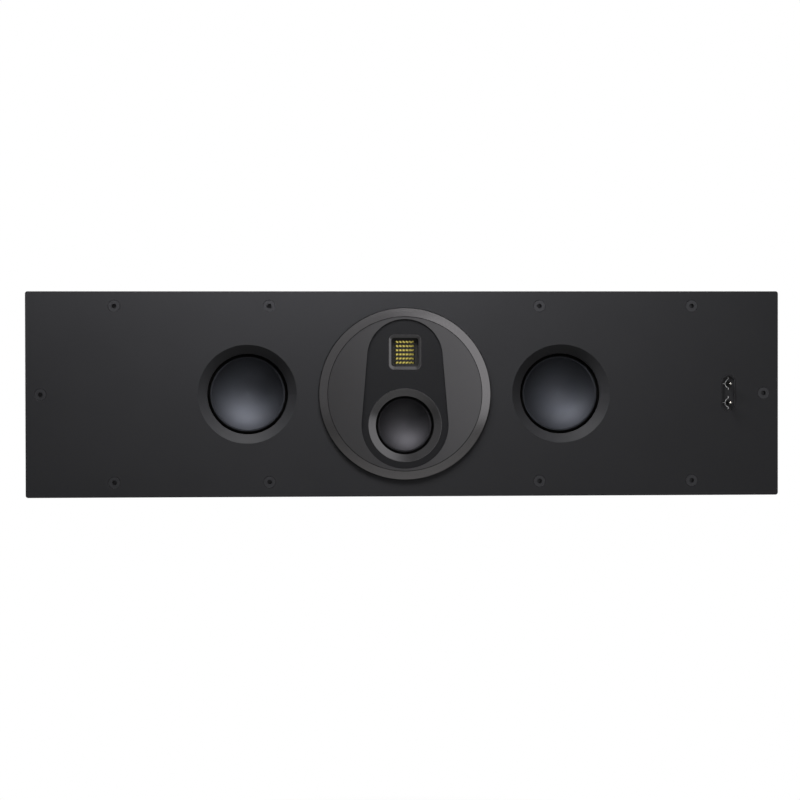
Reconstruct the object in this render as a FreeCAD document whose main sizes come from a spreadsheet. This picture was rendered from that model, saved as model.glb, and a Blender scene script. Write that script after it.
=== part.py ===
"""In-wall loudspeaker: a flanged baffle with two woofers and a turning centre pod, on a shallow back box.

X runs along the baffle, Z is up and Y goes into the wall. The origin is the middle of the flange's rear
face, which lies on the wall. Lengths are millimetres.
"""
import FreeCAD, Part
import math
import os
import re

import Sketcher

# Driving dimensions, each written to one cell of the sheet
SIZES = {
    # front baffle and its flange
    "panel_width": (764, "baffle, end to end"),
    "panel_height": (208, "baffle, top to bottom"),
    "panel_corner": (2.5, "corner radius seen from the front"),
    "panel_edge": (0.8, "rounding of the front edge"),
    "flange_depth": (12, "wall to front face"),
    "flange_width": (7, "rim that lies on the wall"),
    "field_rise": (2, "raised field behind the flange"),
    # back box
    "box_clearance": (0.5, "box inside the raised field"),
    "box_depth": (88, "gasket to outside of the back"),
    "wall_thick": (15, "top, bottom and ends"),
    "back_thick": (12, "back panel"),
    "gasket_thick": (2, "foam between box and baffle"),
    "brace_thick": (12, "upright brace"),
    "brace_window_height": (116, "opening in a brace, up and down"),
    "brace_window_depth": (40, "opening in a brace, front to back"),
    "pad_thick": (10, "damping pad"),
    "pad_width": (80, "damping pad, along the box"),
    "pad_margin": (8, "damping pad to top and bottom panel"),
    "fixing_inset": (132, "stud fixing holes, from the baffle's end"),
    "fixing_radius": (2.75, "stud fixing holes"),
    "grommet_inset": (13.5, "cable grommet, from the right end wall"),
    "grommet_lift": (23.5, "cable grommet, above the bottom panel"),
    "grommet_bore": (3.5, "radius of the cable's hole"),
    "grommet_neck": (7.5, "radius inside the back panel"),
    "grommet_lip": (10, "radius of the lips"),
    "grommet_lip_thick": (1.8, "each lip"),
    # baffle screws and their inserts
    "screw_outer_inset": (89, "outer screws of the long edges, from the baffle's end"),
    "screw_inner_x": (137, "inner screws of the long edges, from the middle"),
    "screw_radius": (3, "shank"),
    "screw_length": (30, "head face to tip"),
    "screw_head_radius": (5.8, "countersunk head"),
    "screw_head_gap": (0.4, "head to edge of its countersink"),
    "screw_hole_gap": (0.3, "shank to baffle"),
    "socket_across": (4.6, "hex socket across flats"),
    "socket_depth": (4, "hex socket"),
    "insert_radius": (4.5, "threaded insert"),
    "insert_length": (15, "threaded insert"),
    "thread_gap": (0.1, "parts screwed or pressed together"),
    # woofers
    "woofer_x": (159.2, "woofer axis, from the middle"),
    "woofer_recess_radius": (50, "chamfer at the front face"),
    "woofer_opening_radius": (41, "inner edge of the chamfer"),
    "woofer_cone_radius": (37.8, "edge of the cone"),
    "woofer_cone_depth": (20, "dish of the cone"),
    "woofer_cone_wall": (0.7, "cone"),
    "woofer_rim_width": (1.5, "flat rim of the cone"),
    "woofer_roll_radius": (4.5, "half-roll of the surround"),
    "woofer_skin": (0.8, "surround and spider"),
    "woofer_lip_width": (4, "outer lip of the surround"),
    "woofer_flange_radius": (58.5, "basket flange"),
    "woofer_flange_thick": (3, "basket flange"),
    "woofer_basket_wall": (2.2, "basket"),
    "woofer_basket_depth": (38, "flange to motor"),
    "woofer_window_width": (27, "openings in the basket"),
    "woofer_spider_depth": (26, "flange to spider seat"),
    "woofer_spider_radius": (36, "edge of the spider"),
    "woofer_spider_land": (3, "flat edge of the spider"),
    "woofer_spider_wave": (1.2, "height of a corrugation"),
    "woofer_coil_radius": (12.7, "inside of the voice coil"),
    "woofer_coil_start": (22.5, "flange to front of the coil former"),
    "woofer_coil_length": (26, "coil former"),
    "woofer_winding_length": (11, "winding on the former"),
    "woofer_pole_thick": (5, "front plate, height of the gap"),
    "woofer_plate_radius": (34, "front plate and yoke"),
    "woofer_magnet_radius": (38, "ring magnet"),
    "woofer_magnet_hole": (18, "hole of the ring magnet"),
    "woofer_magnet_thick": (13, "ring magnet"),
    "woofer_vent_radius": (4, "vent through the yoke"),
    "woofer_screw_radius": (1.9, "screws of the basket"),
    "woofer_screw_length": (11, "screws of the basket, under the head"),
    "woofer_screw_head": (3.1, "head radius"),
    "woofer_screw_head_thick": (2.2, "head"),
    # drivers in common
    "former_wall": (0.3, "coil former"),
    "winding_wall": (0.5, "winding"),
    "coil_gap": (0.6, "coil to steel on each side"),
    "glue_gap": (0.15, "spider to coil former"),
    "boss_wall": (1.6, "boss that joins cone and former"),
    "roll_start": (0.5, "cone edge to the roll"),
    "dish_flat": (0.6, "radius of the flat middle of a cone"),
    # centre pod
    "pod_radius": (86.7, "outside of the bezel"),
    "pod_gap": (0.8, "bezel to the baffle"),
    "pod_seat_depth": (4, "seat below the front face"),
    "running_gap": (0.3, "pod to its seat"),
    "bezel_width": (8.3, "bezel ring"),
    "bezel_edge_rise": (2.6, "outer edge of the bezel above the baffle"),
    "bezel_rise": (4.6, "inner edge of the bezel above the baffle"),
    "bezel_crown": (0.05, "swell of the bezel's slope"),
    "bezel_wall": (2.4, "rim of the bezel"),
    "face_gap": (0.5, "bezel to pod face"),
    "face_rise": (4, "edge of the pod face above the baffle"),
    "face_thick": (1, "edge of the pod face"),
    "face_dome": (1.4, "swell of the pod face"),
    "pear_margin": (2.1, "window to edge of the pod face, above and below"),
    "pear_top_radius": (38.3, "upper arc of the window"),
    "pear_bottom_radius": (44.1, "lower arc of the window, round the midrange"),
    "pod_seat_width": (14.2, "edge of the pod to its spigot"),
    "spigot_wall": (3, "spigot and rear cup"),
    "spigot_gap": (0.5, "spigot to baffle"),
    "spigot_depth": (12, "spigot past the raised field"),
    "plug_depth": (5, "rear cup inside the spigot"),
    "cup_depth": (36, "rear cup past the spigot"),
    "nut_wall": (5, "ring nut"),
    "nut_thick": (7, "ring nut"),
    "nut_notch": (9, "spanner notches of the ring nut"),
    "nut_clearance": (5, "relief in the box round the ring nut and rear cup"),
    # midrange
    "mid_trim_radius": (37.3, "trim ring at the front"),
    "mid_trim_land": (2.5, "trim ring's shoulder"),
    "mid_trim_step": (2.5, "depth of the shoulder"),
    "mid_trim_gap": (0.2, "trim ring to carrier"),
    "mid_trim_edge": (0.4, "front edge of the trim ring"),
    "mid_opening_radius": (29.6, "inner edge of the trim ring"),
    "mid_opening_lip": (4.6, "straight lip of the trim ring"),
    "mid_cone_radius": (27, "edge of the cone"),
    "mid_cone_depth": (13, "dish of the cone"),
    "mid_cone_wall": (0.6, "cone"),
    "mid_rim_width": (1.4, "flat rim of the cone"),
    "mid_roll_radius": (2.6, "half-roll of the surround"),
    "mid_skin": (0.6, "surround and spider"),
    "mid_lip_width": (1.6, "outer lip of the surround"),
    "mid_flange_radius": (37.2, "basket flange"),
    "mid_flange_thick": (2.2, "basket flange"),
    "mid_basket_wall": (1.8, "basket"),
    "mid_basket_depth": (25, "flange to motor"),
    "mid_window_width": (16, "openings in the basket"),
    "mid_spider_depth": (18, "flange to spider seat"),
    "mid_spider_radius": (23, "edge of the spider"),
    "mid_spider_land": (2, "flat edge of the spider"),
    "mid_spider_wave": (0.9, "height of a corrugation"),
    "mid_coil_radius": (10, "inside of the voice coil"),
    "mid_coil_start": (15, "flange to front of the coil former"),
    "mid_coil_length": (17.5, "coil former"),
    "mid_winding_length": (6, "winding on the former"),
    "mid_pole_thick": (5, "pole cap, height of the gap"),
    "mid_cup_radius": (20, "steel cup"),
    "mid_cup_floor": (4, "floor of the steel cup"),
    "mid_magnet_thick": (9, "disc magnet"),
    # pleated tweeter
    "tweeter_rise_past": (4.7, "tweeter centre above that of the window's upper arc"),
    "trim_width": (33, "tweeter trim frame"),
    "trim_height": (35.6, "tweeter trim frame"),
    "trim_corner": (5.5, "corner radius of the trim frame"),
    "trim_step": (2.5, "depth of the trim frame's shoulder"),
    "trim_gap": (0.2, "trim frame to carrier"),
    "trim_wall": (2, "trim frame inside the carrier"),
    "trim_edge": (0.5, "front edge of the trim frame"),
    "bevel_depth": (0.6, "sloping part of the trim frame"),
    "window_width": (27.6, "opening of the trim frame"),
    "window_height": (28.8, "opening of the trim frame"),
    "window_corner": (3, "corner radius of the opening"),
    "window_depth": (4.6, "slotted plate behind the carrier's face"),
    "motor_width": (44, "tweeter motor"),
    "motor_height": (36, "tweeter motor"),
    "pole_plate_thick": (2.5, "front and rear plate"),
    "grille_thick": (1.2, "slotted front of the front plate"),
    "hollow_wall": (1, "front plate beside its hollow for the folds"),
    "bar_thick": (5, "bar magnets"),
    "slot_width": (20.3, "slots of the plates"),
    "slot_height": (2.2, "slots of the plates"),
    "slot_pitch": (4.2, "slots of the plates"),
    "pleat_pitch": (3.4, "folds of the diaphragm"),
    "pleat_depth": (4, "folds of the diaphragm"),
    "film_thick": (0.35, "diaphragm"),
    "film_gap": (0.3, "diaphragm to plates and magnets"),
    "rear_cover_depth": (9, "rear cover"),
    "rear_cover_wall": (1.6, "rear cover"),
    "rear_cover_margin": (3.5, "rear cover inside the rear plate"),
    # level switches
    "switch_inset": (51, "switch cup, from the baffle's end"),
    "switch_pitch": (19.4, "between the two switches"),
    "switch_cup_width": (14, "switch cup"),
    "switch_cup_height": (36.5, "switch cup"),
    "switch_cup_wall": (0.8, "switch cup"),
    "switch_cup_depth": (2.2, "floor below the front face"),
    "switch_cup_floor": (4, "floor"),
    "switch_cup_gap": (0.25, "switch cup to baffle"),
    "switch_cup_flange": (4, "rear flange past the cup"),
    "switch_cup_flange_thick": (2, "rear flange"),
    "bush_radius": (1.8, "switch bush"),
    "bush_length": (1.4, "bush in front of the floor"),
    "bush_bore": (1.4, "bore of the bush"),
    "switch_nut_radius": (2.4, "hex nut, half across flats"),
    "switch_nut_thick": (1.1, "hex nut"),
    "switch_body_width": (8, "switch body"),
    "switch_body_height": (13, "switch body"),
    "switch_body_depth": (9, "switch body"),
    "switch_tag_length": (4, "terminals of the switch body"),
    "lever_length": (14.5, "pivot to tip"),
    "lever_tip_radius": (1.35, "tip of the lever"),
    "lever_neck_radius": (0.65, "neck of the lever"),
    "lever_ball_radius": (1.15, "ball of the lever"),
    "lever_sink": (2.2, "pivot below the end of the bush"),
    # crossover
    "board_inset": (25.5, "board to right end wall"),
    "board_width": (98, "crossover board"),
    "board_height": (130, "crossover board"),
    "board_thick": (1.6, "crossover board"),
    "pillar_inset": (6, "pillars from the board's edges"),
    "pillar_length": (10, "back panel to board"),
    "pillar_radius": (3.5, "pillar"),
    "pillar_pin": (1.5, "pin through the board"),
    "pillar_head": (2.4, "head on the pin"),
    "coil_radius": (17, "air-core coil"),
    "coil_hole": (8, "air-core coil"),
    "coil_height": (18, "air-core coil"),
    "coil_pitch": (41, "between coils"),
    "capacitor_radius": (8.5, "film capacitor"),
    "capacitor_length": (34, "film capacitor"),
    "resistor_width": (9, "cement resistor"),
    "resistor_length": (38, "cement resistor"),
    "part_gap": (0.1, "component to board"),
    # leads from the board to the drivers and switches
    "lead_radius": (1.6, "two-core lead"),
    "lead_lap": (4, "lead on the board's edge"),
    "lead_reach": (10, "lead straight out past the board's edge"),
    "lead_height": (26, "leads leave the board above and below the middle"),
    "lead_run_height": (47, "leads past the woofers, above and below the middle"),
    "lead_run_gap": (5, "leads past the woofers, behind the pod's rear cup"),
    "lead_slack": (14, "loop behind the pod"),
}

# Sizes that follow from the driving ones
DERIVED = {
    "front": "-flange_depth",
    "box_front": "field_rise + gasket_thick",
    "box_back": "box_front + box_depth",
    "back_inside": "box_back - back_thick",
    "box_x": "panel_width/2 - flange_width - box_clearance",
    "box_z": "panel_height/2 - flange_width - box_clearance",
    "inside_x": "box_x - wall_thick",
    "inside_z": "box_z - wall_thick",
    "fixing_x": "panel_width/2 - fixing_inset",
    "grommet_x": "inside_x - grommet_inset",
    "grommet_drop": "inside_z - grommet_lift",
    "screw_outer_x": "panel_width/2 - screw_outer_inset",
    "screw_x": "box_x - wall_thick/2",
    "screw_z": "box_z - wall_thick/2",
    "screw_hole_radius": "screw_radius + screw_hole_gap",
    "countersink_radius": "screw_head_radius + screw_head_gap",
    "insert_hole": "insert_radius + thread_gap",
    "woofer_seat": "field_rise",
    "woofer_screw_reach": "(woofer_edge + woofer_flange_radius)/2",
    "pod_seat": "front + pod_seat_depth",
    "carrier_rear": "pod_seat - running_gap",
    "carrier_front": "front - face_rise + face_thick",
    "bezel_inner": "pod_radius - bezel_width",
    "face_radius": "bezel_inner - face_gap",
    "bezel_floor": "(front + carrier_rear)/2",
    "spigot_radius": "pod_radius - pod_seat_width",
    "spigot_end": "field_rise + spigot_depth",
    "spigot_bore": "spigot_radius - spigot_wall",
    "nut_radius": "spigot_radius + spigot_gap + nut_wall",
    "relief_radius": "nut_radius + nut_clearance",
    "relief_end": "spigot_end + cup_depth + nut_clearance",
    "brace_x": "(nut_radius + woofer_x - woofer_flange_radius)/2",
    "pear_top_rise": "face_radius - pear_margin - pear_top_radius",
    "mid_drop": "face_radius - pear_margin - pear_bottom_radius",
    "tweeter_rise": "pear_top_rise + tweeter_rise_past",
    "pear_lean": "(pear_bottom_radius - pear_top_radius)/(pear_top_rise + mid_drop)",
    "pear_spread": "sqrt(1 - pear_lean*pear_lean)",
    "mid_trim_body": "mid_trim_radius - mid_trim_land",
    "tweeter_front": "carrier_front + window_depth",
    "plate_seam": "carrier_rear + pole_plate_thick",
    "film_near": "tweeter_front + grille_thick + film_gap",
    "hollow_width": "window_width - 2*trim_gap - 2*hollow_wall",
    "hollow_height": "window_height - 2*trim_gap - 2*hollow_wall",
    "rear_plate_front": "plate_seam + bar_thick",
    "rear_plate_back": "rear_plate_front + pole_plate_thick",
    "switch_x": "panel_width/2 - switch_inset",
    "switch_floor": "front + switch_cup_depth",
    "switch_back": "switch_floor + switch_cup_floor",
    "switch_flange_front": "switch_back - switch_cup_flange_thick",
    "bush_end": "switch_floor - bush_length",
    "lever_pivot": "bush_end + lever_sink",
    "board_x": "inside_x - board_inset - board_width/2",
    "board_rear": "back_inside - pillar_length",
    "board_front": "board_rear - board_thick",
    # the same names for each cone driver, worked out from its own sizes
    "woofer_edge": "woofer_cone_radius + roll_start + 2*woofer_roll_radius + woofer_lip_width",
    "woofer_steel": "woofer_basket_depth",
    "mid_edge": "mid_cone_radius + roll_start + 2*mid_roll_radius + mid_lip_width",
    "mid_steel": "mid_basket_depth + mid_skin",
    "mid_cup_end": "mid_steel + mid_pole_thick + mid_magnet_thick + mid_cup_floor",
}

WAVES = 3
SLOTS = 6
PLEATS = 6
BASKET_WINDOWS = 6
NUT_NOTCHES = 4
BEND_SHARE = 0.45

doc = FreeCAD.newDocument("in_wall_speaker")
sheet = doc.addObject("Spreadsheet::Sheet", "sizes")
for row, (alias, (value, note)) in enumerate(SIZES.items(), start=1):
    sheet.set(f"A{row}", note)
    sheet.set(f"B{row}", str(value))
    sheet.setAlias(f"B{row}", alias)
doc.recompute()

pieces = []


def bound(text):
    """A size written in the names above, as an expression on the sheet's cells."""
    def cell(match):
        name = match.group(0)
        if name in DERIVED:
            return f"({bound(DERIVED[name])})"
        return f"sizes.{name}" if name in SIZES else name
    return re.sub(r"[a-z_]+", cell, text)


def length(text):
    """What a size comes to now, in millimetres."""
    return float(sheet.evalExpression(bound(text)))


def point(x, y):
    """A sketch point at two sizes."""
    return FreeCAD.Vector(length(x), length(y), 0)


def tie(sketch, constraint, text):
    """Add a constraint whose value follows a size."""
    index = sketch.addConstraint(constraint)
    sketch.setExpression(f"Constraints[{index}]", bound(text))


def tie_point(sketch, geometry, end, x, y):
    """Hold a sketch point at two sizes, or on an axis where a size is nought."""
    for kind, axis, text in (("DistanceX", -2, x), ("DistanceY", -1, y)):
        if text == "0":
            sketch.addConstraint(Sketcher.Constraint("PointOnObject", geometry, end, axis))
        else:
            tie(sketch, Sketcher.Constraint(kind, -1, 1, geometry, end, length(text)), text)


def add_arc(sketch, start, through, end):
    """Add an arc that runs anticlockwise, and say which of its ends is the start."""
    circle = Part.Arc(start, through, end).toShape().Curve
    angle = {}
    for name, place in (("start", start), ("through", through), ("end", end)):
        angle[name] = math.atan2(place.y - circle.Center.y, place.x - circle.Center.x)
    turn = 2 * math.pi
    forward = (angle["through"] - angle["start"]) % turn < (angle["end"] - angle["start"]) % turn
    first, last = ("start", "end") if forward else ("end", "start")
    sweep = (angle[last] - angle[first]) % turn
    level = Part.Circle(circle.Center, FreeCAD.Vector(0, 0, 1), circle.Radius)
    index = sketch.addGeometry(Part.ArcOfCircle(level, angle[first], angle[first] + sweep), False)
    return index, (1, 2) if forward else (2, 1)


def draw(sketch, corners):
    """A closed outline through corners (x, y), or (x, y, via_x, via_y) at the end of an arc."""
    edges = []
    for before, corner in zip([corners[-1]] + corners[:-1], corners):
        start, end = point(*before[:2]), point(*corner[:2])
        if len(corner) == 4:
            through = point(*corner[2:])
            index, ends = add_arc(sketch, start, through, end)
            mark = sketch.addGeometry(Part.Point(through), True)
            sketch.addConstraint(Sketcher.Constraint("PointOnObject", mark, 1, index))
            tie_point(sketch, mark, 1, *corner[2:])
        else:
            index, ends = sketch.addGeometry(Part.LineSegment(start, end), False), (1, 2)
        edges.append((index, ends))
    for (index, ends), (following, next_ends), corner in zip(edges, edges[1:] + edges[:1], corners):
        sketch.addConstraint(Sketcher.Constraint("Coincident", index, ends[1], following, next_ends[0]))
        tie_point(sketch, index, ends[1], *corner[:2])


def draw_circle(sketch, x, y, radius):
    """A circle at two sizes, with a third for its radius."""
    circle = Part.Circle(point(x, y), FreeCAD.Vector(0, 0, 1), length(radius))
    index = sketch.addGeometry(circle, False)
    tie_point(sketch, index, 3, x, y)
    tie(sketch, Sketcher.Constraint("Radius", index, length(radius)), radius)


def rectangle(width, height, x="0", y="0"):
    """Corners of an upright rectangle about a point."""
    signs = ((-1, -1), (1, -1), (1, 1), (-1, 1))
    return [(f"{x} + {a}*({width})/2", f"{y} + {b}*({height})/2") for a, b in signs]


def rounded(width, height, radius, x="0", y="0"):
    """Corners of a rectangle with round corners."""
    corners = []
    bulge = f"({radius})*(1 - sqrt(0.5))"
    for a, b, along_x in ((1, -1, True), (1, 1, False), (-1, 1, True), (-1, -1, False)):
        edge_x, edge_y = f"{x} + {a}*({width})/2", f"{y} + {b}*({height})/2"
        near_x, near_y = f"{edge_x} - {a}*({radius})", f"{edge_y} - {b}*({radius})"
        via = (f"{edge_x} - {a}*{bulge}", f"{edge_y} - {b}*{bulge}")
        first, last = (near_x, edge_y), (edge_x, near_y)
        if not along_x:
            first, last = last, first
        corners += [first, last + via]
    return corners


def obround(width, height, x="0", y="0"):
    """Corners of an upright slot with round ends."""
    right, left = f"{x} + ({width})/2", f"{x} - ({width})/2"
    top, bottom = f"{y} + ({height})/2", f"{y} - ({height})/2"
    high, low = f"{top} - ({width})/2", f"{bottom} + ({width})/2"
    return [(right, low, x, bottom), (right, high), (left, high, x, top), (left, low)]


def pear():
    """The pod's window: two arcs joined by straight sides."""
    high = "pear_top_rise + pear_top_radius*pear_lean"
    low = "-mid_drop + pear_bottom_radius*pear_lean"
    return [
        ("pear_bottom_radius*pear_spread", low, "0", "-mid_drop - pear_bottom_radius"),
        ("pear_top_radius*pear_spread", high),
        ("-pear_top_radius*pear_spread", high, "0", "pear_top_rise + pear_top_radius"),
        ("-pear_bottom_radius*pear_spread", low),
    ]


def new_body(label, x="0", y="0", z="0"):
    """An empty body, placed at three sizes."""
    body = doc.addObject("PartDesign::Body", label)
    for axis, text in zip("xyz", (x, y, z)):
        if text != "0":
            body.setExpression(f".Placement.Base.{axis}", bound(text))
    return body


def new_sketch(body, name, role, level="0"):
    """A sketch on one of the body's own planes, moved along its normal."""
    sketch = body.newObject("Sketcher::SketchObject", f"{body.Name}_{name}")
    plane = next(feature for feature in body.Origin.OriginFeatures if feature.Role == role)
    sketch.AttachmentSupport = [(plane, "")]
    sketch.MapMode = "FlatFace"
    if level != "0":
        sketch.setExpression(".AttachmentOffset.Base.z", bound(level))
    return sketch


def front_sketch(body, name, depth, outlines=(), circles=()):
    """A sketch seen from the front: its x is X, its y is Z, and it lies at a depth Y."""
    sketch = new_sketch(body, name, "XZ_Plane", f"-({depth})")
    for corners in outlines:
        draw(sketch, corners)
    for circle in circles:
        draw_circle(sketch, *circle)
    return sketch


def pad(body, sketch, thickness):
    """Raise a front sketch towards the front."""
    feature = body.newObject("PartDesign::Pad", f"{sketch.Name}_pad")
    feature.Profile = sketch
    feature.setExpression("Length", bound(thickness))
    return feature


def pocket(body, sketch, depth, towards_front=False, middle=False):
    """Cut a front sketch into the wall, or towards the front, or to both sides."""
    feature = body.newObject("PartDesign::Pocket", f"{sketch.Name}_cut")
    feature.Profile = sketch
    feature.Reversed = towards_front
    feature.Midplane = middle
    feature.setExpression("Length", bound(depth))
    return feature


def chamfer_circles(body, base, places, radius, depth, size):
    """Chamfer the round edges of a radius at some centres (x, z) and a depth."""
    doc.recompute()
    centres = [FreeCAD.Vector(length(x), length(depth), length(z)) for x, z in places]
    names = []
    for number, edge in enumerate(base.Shape.Edges, start=1):
        curve = edge.Curve
        if isinstance(curve, Part.Circle) and math.isclose(curve.Radius, length(radius), abs_tol=1e-4):
            if any(curve.Center.isEqual(centre, 1e-4) for centre in centres):
                names.append(f"Edge{number}")
    feature = body.newObject("PartDesign::Chamfer", f"{base.Name}_chamfer")
    feature.Base = (base, names)
    feature.setExpression("Size", bound(size))
    return feature


def polar(body, feature, sketch_axis, count):
    """Repeat a feature round the body's own Y axis."""
    pattern = body.newObject("PartDesign::PolarPattern", f"{feature.Name}_round")
    pattern.Originals = [feature]
    pattern.Axis = (sketch_axis, ["V_Axis"])
    pattern.Angle = 360
    pattern.Occurrences = count
    body.Tip = pattern
    return pattern


def turned(label, corners, x="0", y="0", z="0", keep=True):
    """A turned piece: its profile (radius, depth) goes round an axis along Y."""
    body = new_body(label, x, y, z)
    sketch = new_sketch(body, "profile", "XY_Plane")
    draw(sketch, corners)
    feature = body.newObject("PartDesign::Revolution", f"{label}_turn")
    feature.Profile = sketch
    feature.ReferenceAxis = (sketch, ["V_Axis"])
    feature.Angle = 360
    if keep:
        pieces.append(body)
    return body


def group(label, master, places):
    """A set of like pieces, each a link to a master at a place (x, y, z)."""
    links = []
    for number, place in enumerate(places, start=1):
        link = doc.addObject("App::Link", f"{label}_{number}")
        link.LinkedObject = master
        for axis, text in zip("xyz", place):
            link.setExpression(f".Placement.Base.{axis}", bound(text))
        links.append(link)
    whole = doc.addObject("Part::Compound", label)
    whole.Links = links
    pieces.append(whole)
    return whole


def block(label, low, high):
    """A plain box between two corners, each given as three sizes."""
    box = doc.addObject("Part::Box", label)
    for axis, size, start, end in zip("xyz", ("Length", "Width", "Height"), low, high):
        box.setExpression(size, bound(f"{end} - ({start})"))
        box.setExpression(f".Placement.Base.{axis}", bound(start))
    return box


SCREW_PLACES = [(f"{a}*{x}", f"{b}*screw_z") for x in ("screw_outer_x", "screw_inner_x")
                for a in (-1, 1) for b in (-1, 1)]
SCREW_PLACES += [(f"{a}*screw_x", "0") for a in (-1, 1)]
WOOFERS = {"left": "-woofer_x", "right": "woofer_x"}
DIAGONALS = [(a, b) for a in (-1, 1) for b in (-1, 1)]
WOOFER_SCREWS = [(f"{x} + {a}*woofer_screw_reach*sqrt(0.5)", f"{b}*woofer_screw_reach*sqrt(0.5)")
                 for x in WOOFERS.values() for a, b in DIAGONALS]


def make_baffle():
    """The painted board: flange, raised field, openings, pod seat, switch opening and screw holes."""
    body = new_body("front_baffle")
    outline = rounded("panel_width", "panel_height", "panel_corner")
    plate = pad(body, front_sketch(body, "plate", "0", [outline]), "flange_depth")
    doc.recompute()
    front = length("front")
    rim = [f"Edge{number}" for number, edge in enumerate(plate.Shape.Edges, start=1)
           if all(abs(vertex.Point.y - front) < 1e-6 for vertex in edge.Vertexes)]
    softened = body.newObject("PartDesign::Fillet", "front_baffle_edge")
    softened.Base = (plate, rim)
    softened.setExpression("Radius", bound("panel_edge"))
    field = rectangle("panel_width - 2*flange_width", "panel_height - 2*flange_width")
    pad(body, front_sketch(body, "field", "field_rise", [field]), "field_rise")
    through = "flange_depth + field_rise"
    woofers = [(x, "0") for x in WOOFERS.values()]
    holes = [(*place, "woofer_opening_radius") for place in woofers]
    openings = pocket(body, front_sketch(body, "woofers", "front", circles=holes), through)
    chamfer_circles(body, openings, woofers, "woofer_opening_radius", "front",
                    "woofer_recess_radius - woofer_opening_radius")
    seat = front_sketch(body, "pod_seat", "front", circles=[("0", "0", "pod_radius + pod_gap")])
    pocket(body, seat, "pod_seat_depth")
    bore = front_sketch(body, "pod_bore", "front", circles=[("0", "0", "spigot_radius + spigot_gap")])
    pocket(body, bore, through)
    cup = obround("switch_cup_width + 2*switch_cup_gap", "switch_cup_height + 2*switch_cup_gap", "switch_x")
    pocket(body, front_sketch(body, "switch_opening", "front", [cup]), through)
    flange = rectangle("switch_cup_width + 2*switch_cup_flange + 2*switch_cup_gap",
                       "switch_cup_height + 2*switch_cup_flange + 2*switch_cup_gap", "switch_x")
    pocket(body, front_sketch(body, "switch_pocket", "switch_flange_front", [flange]),
           "field_rise - switch_flange_front")
    pilots = [(*place, "woofer_screw_radius + thread_gap") for place in WOOFER_SCREWS]
    pocket(body, front_sketch(body, "pilots", "field_rise", circles=pilots),
           "woofer_screw_length - woofer_flange_thick + thread_gap", towards_front=True)
    screws = [(*place, "screw_hole_radius") for place in SCREW_PLACES]
    shafts = pocket(body, front_sketch(body, "screws", "front", circles=screws), through)
    chamfer_circles(body, shafts, SCREW_PLACES, "screw_hole_radius", "front",
                    "countersink_radius - screw_hole_radius")
    pieces.append(body)


def make_baffle_screws():
    """Ten countersunk hex-socket screws and the threaded inserts that they go into."""
    rim = "front + screw_head_gap - thread_gap"
    screw = turned("baffle_screw", [
        ("0", "front"),
        ("screw_head_radius", "front"),
        ("screw_head_radius", rim),
        ("screw_radius", f"{rim} + screw_head_radius - screw_radius"),
        ("screw_radius", "front + screw_length"),
        ("0", "front + screw_length"),
    ], keep=False)
    corner, half = "socket_across/sqrt(3)", "socket_across/2"
    hexagon = [(corner, "0"), (f"{corner}/2", half), (f"-{corner}/2", half),
               (f"-{corner}", "0"), (f"-{corner}/2", f"-{half}"), (f"{corner}/2", f"-{half}")]
    pocket(screw, front_sketch(screw, "socket", "front", [hexagon]), "socket_depth")
    insert = turned("baffle_insert", [
        ("screw_radius + thread_gap", "box_front"),
        ("insert_radius", "box_front"),
        ("insert_radius", "box_front + insert_length"),
        ("screw_radius + thread_gap", "box_front + insert_length"),
    ], keep=False)
    places = [(x, "0", z) for x, z in SCREW_PLACES]
    group("baffle_screws", screw, places)
    group("threaded_inserts", insert, places)


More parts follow.
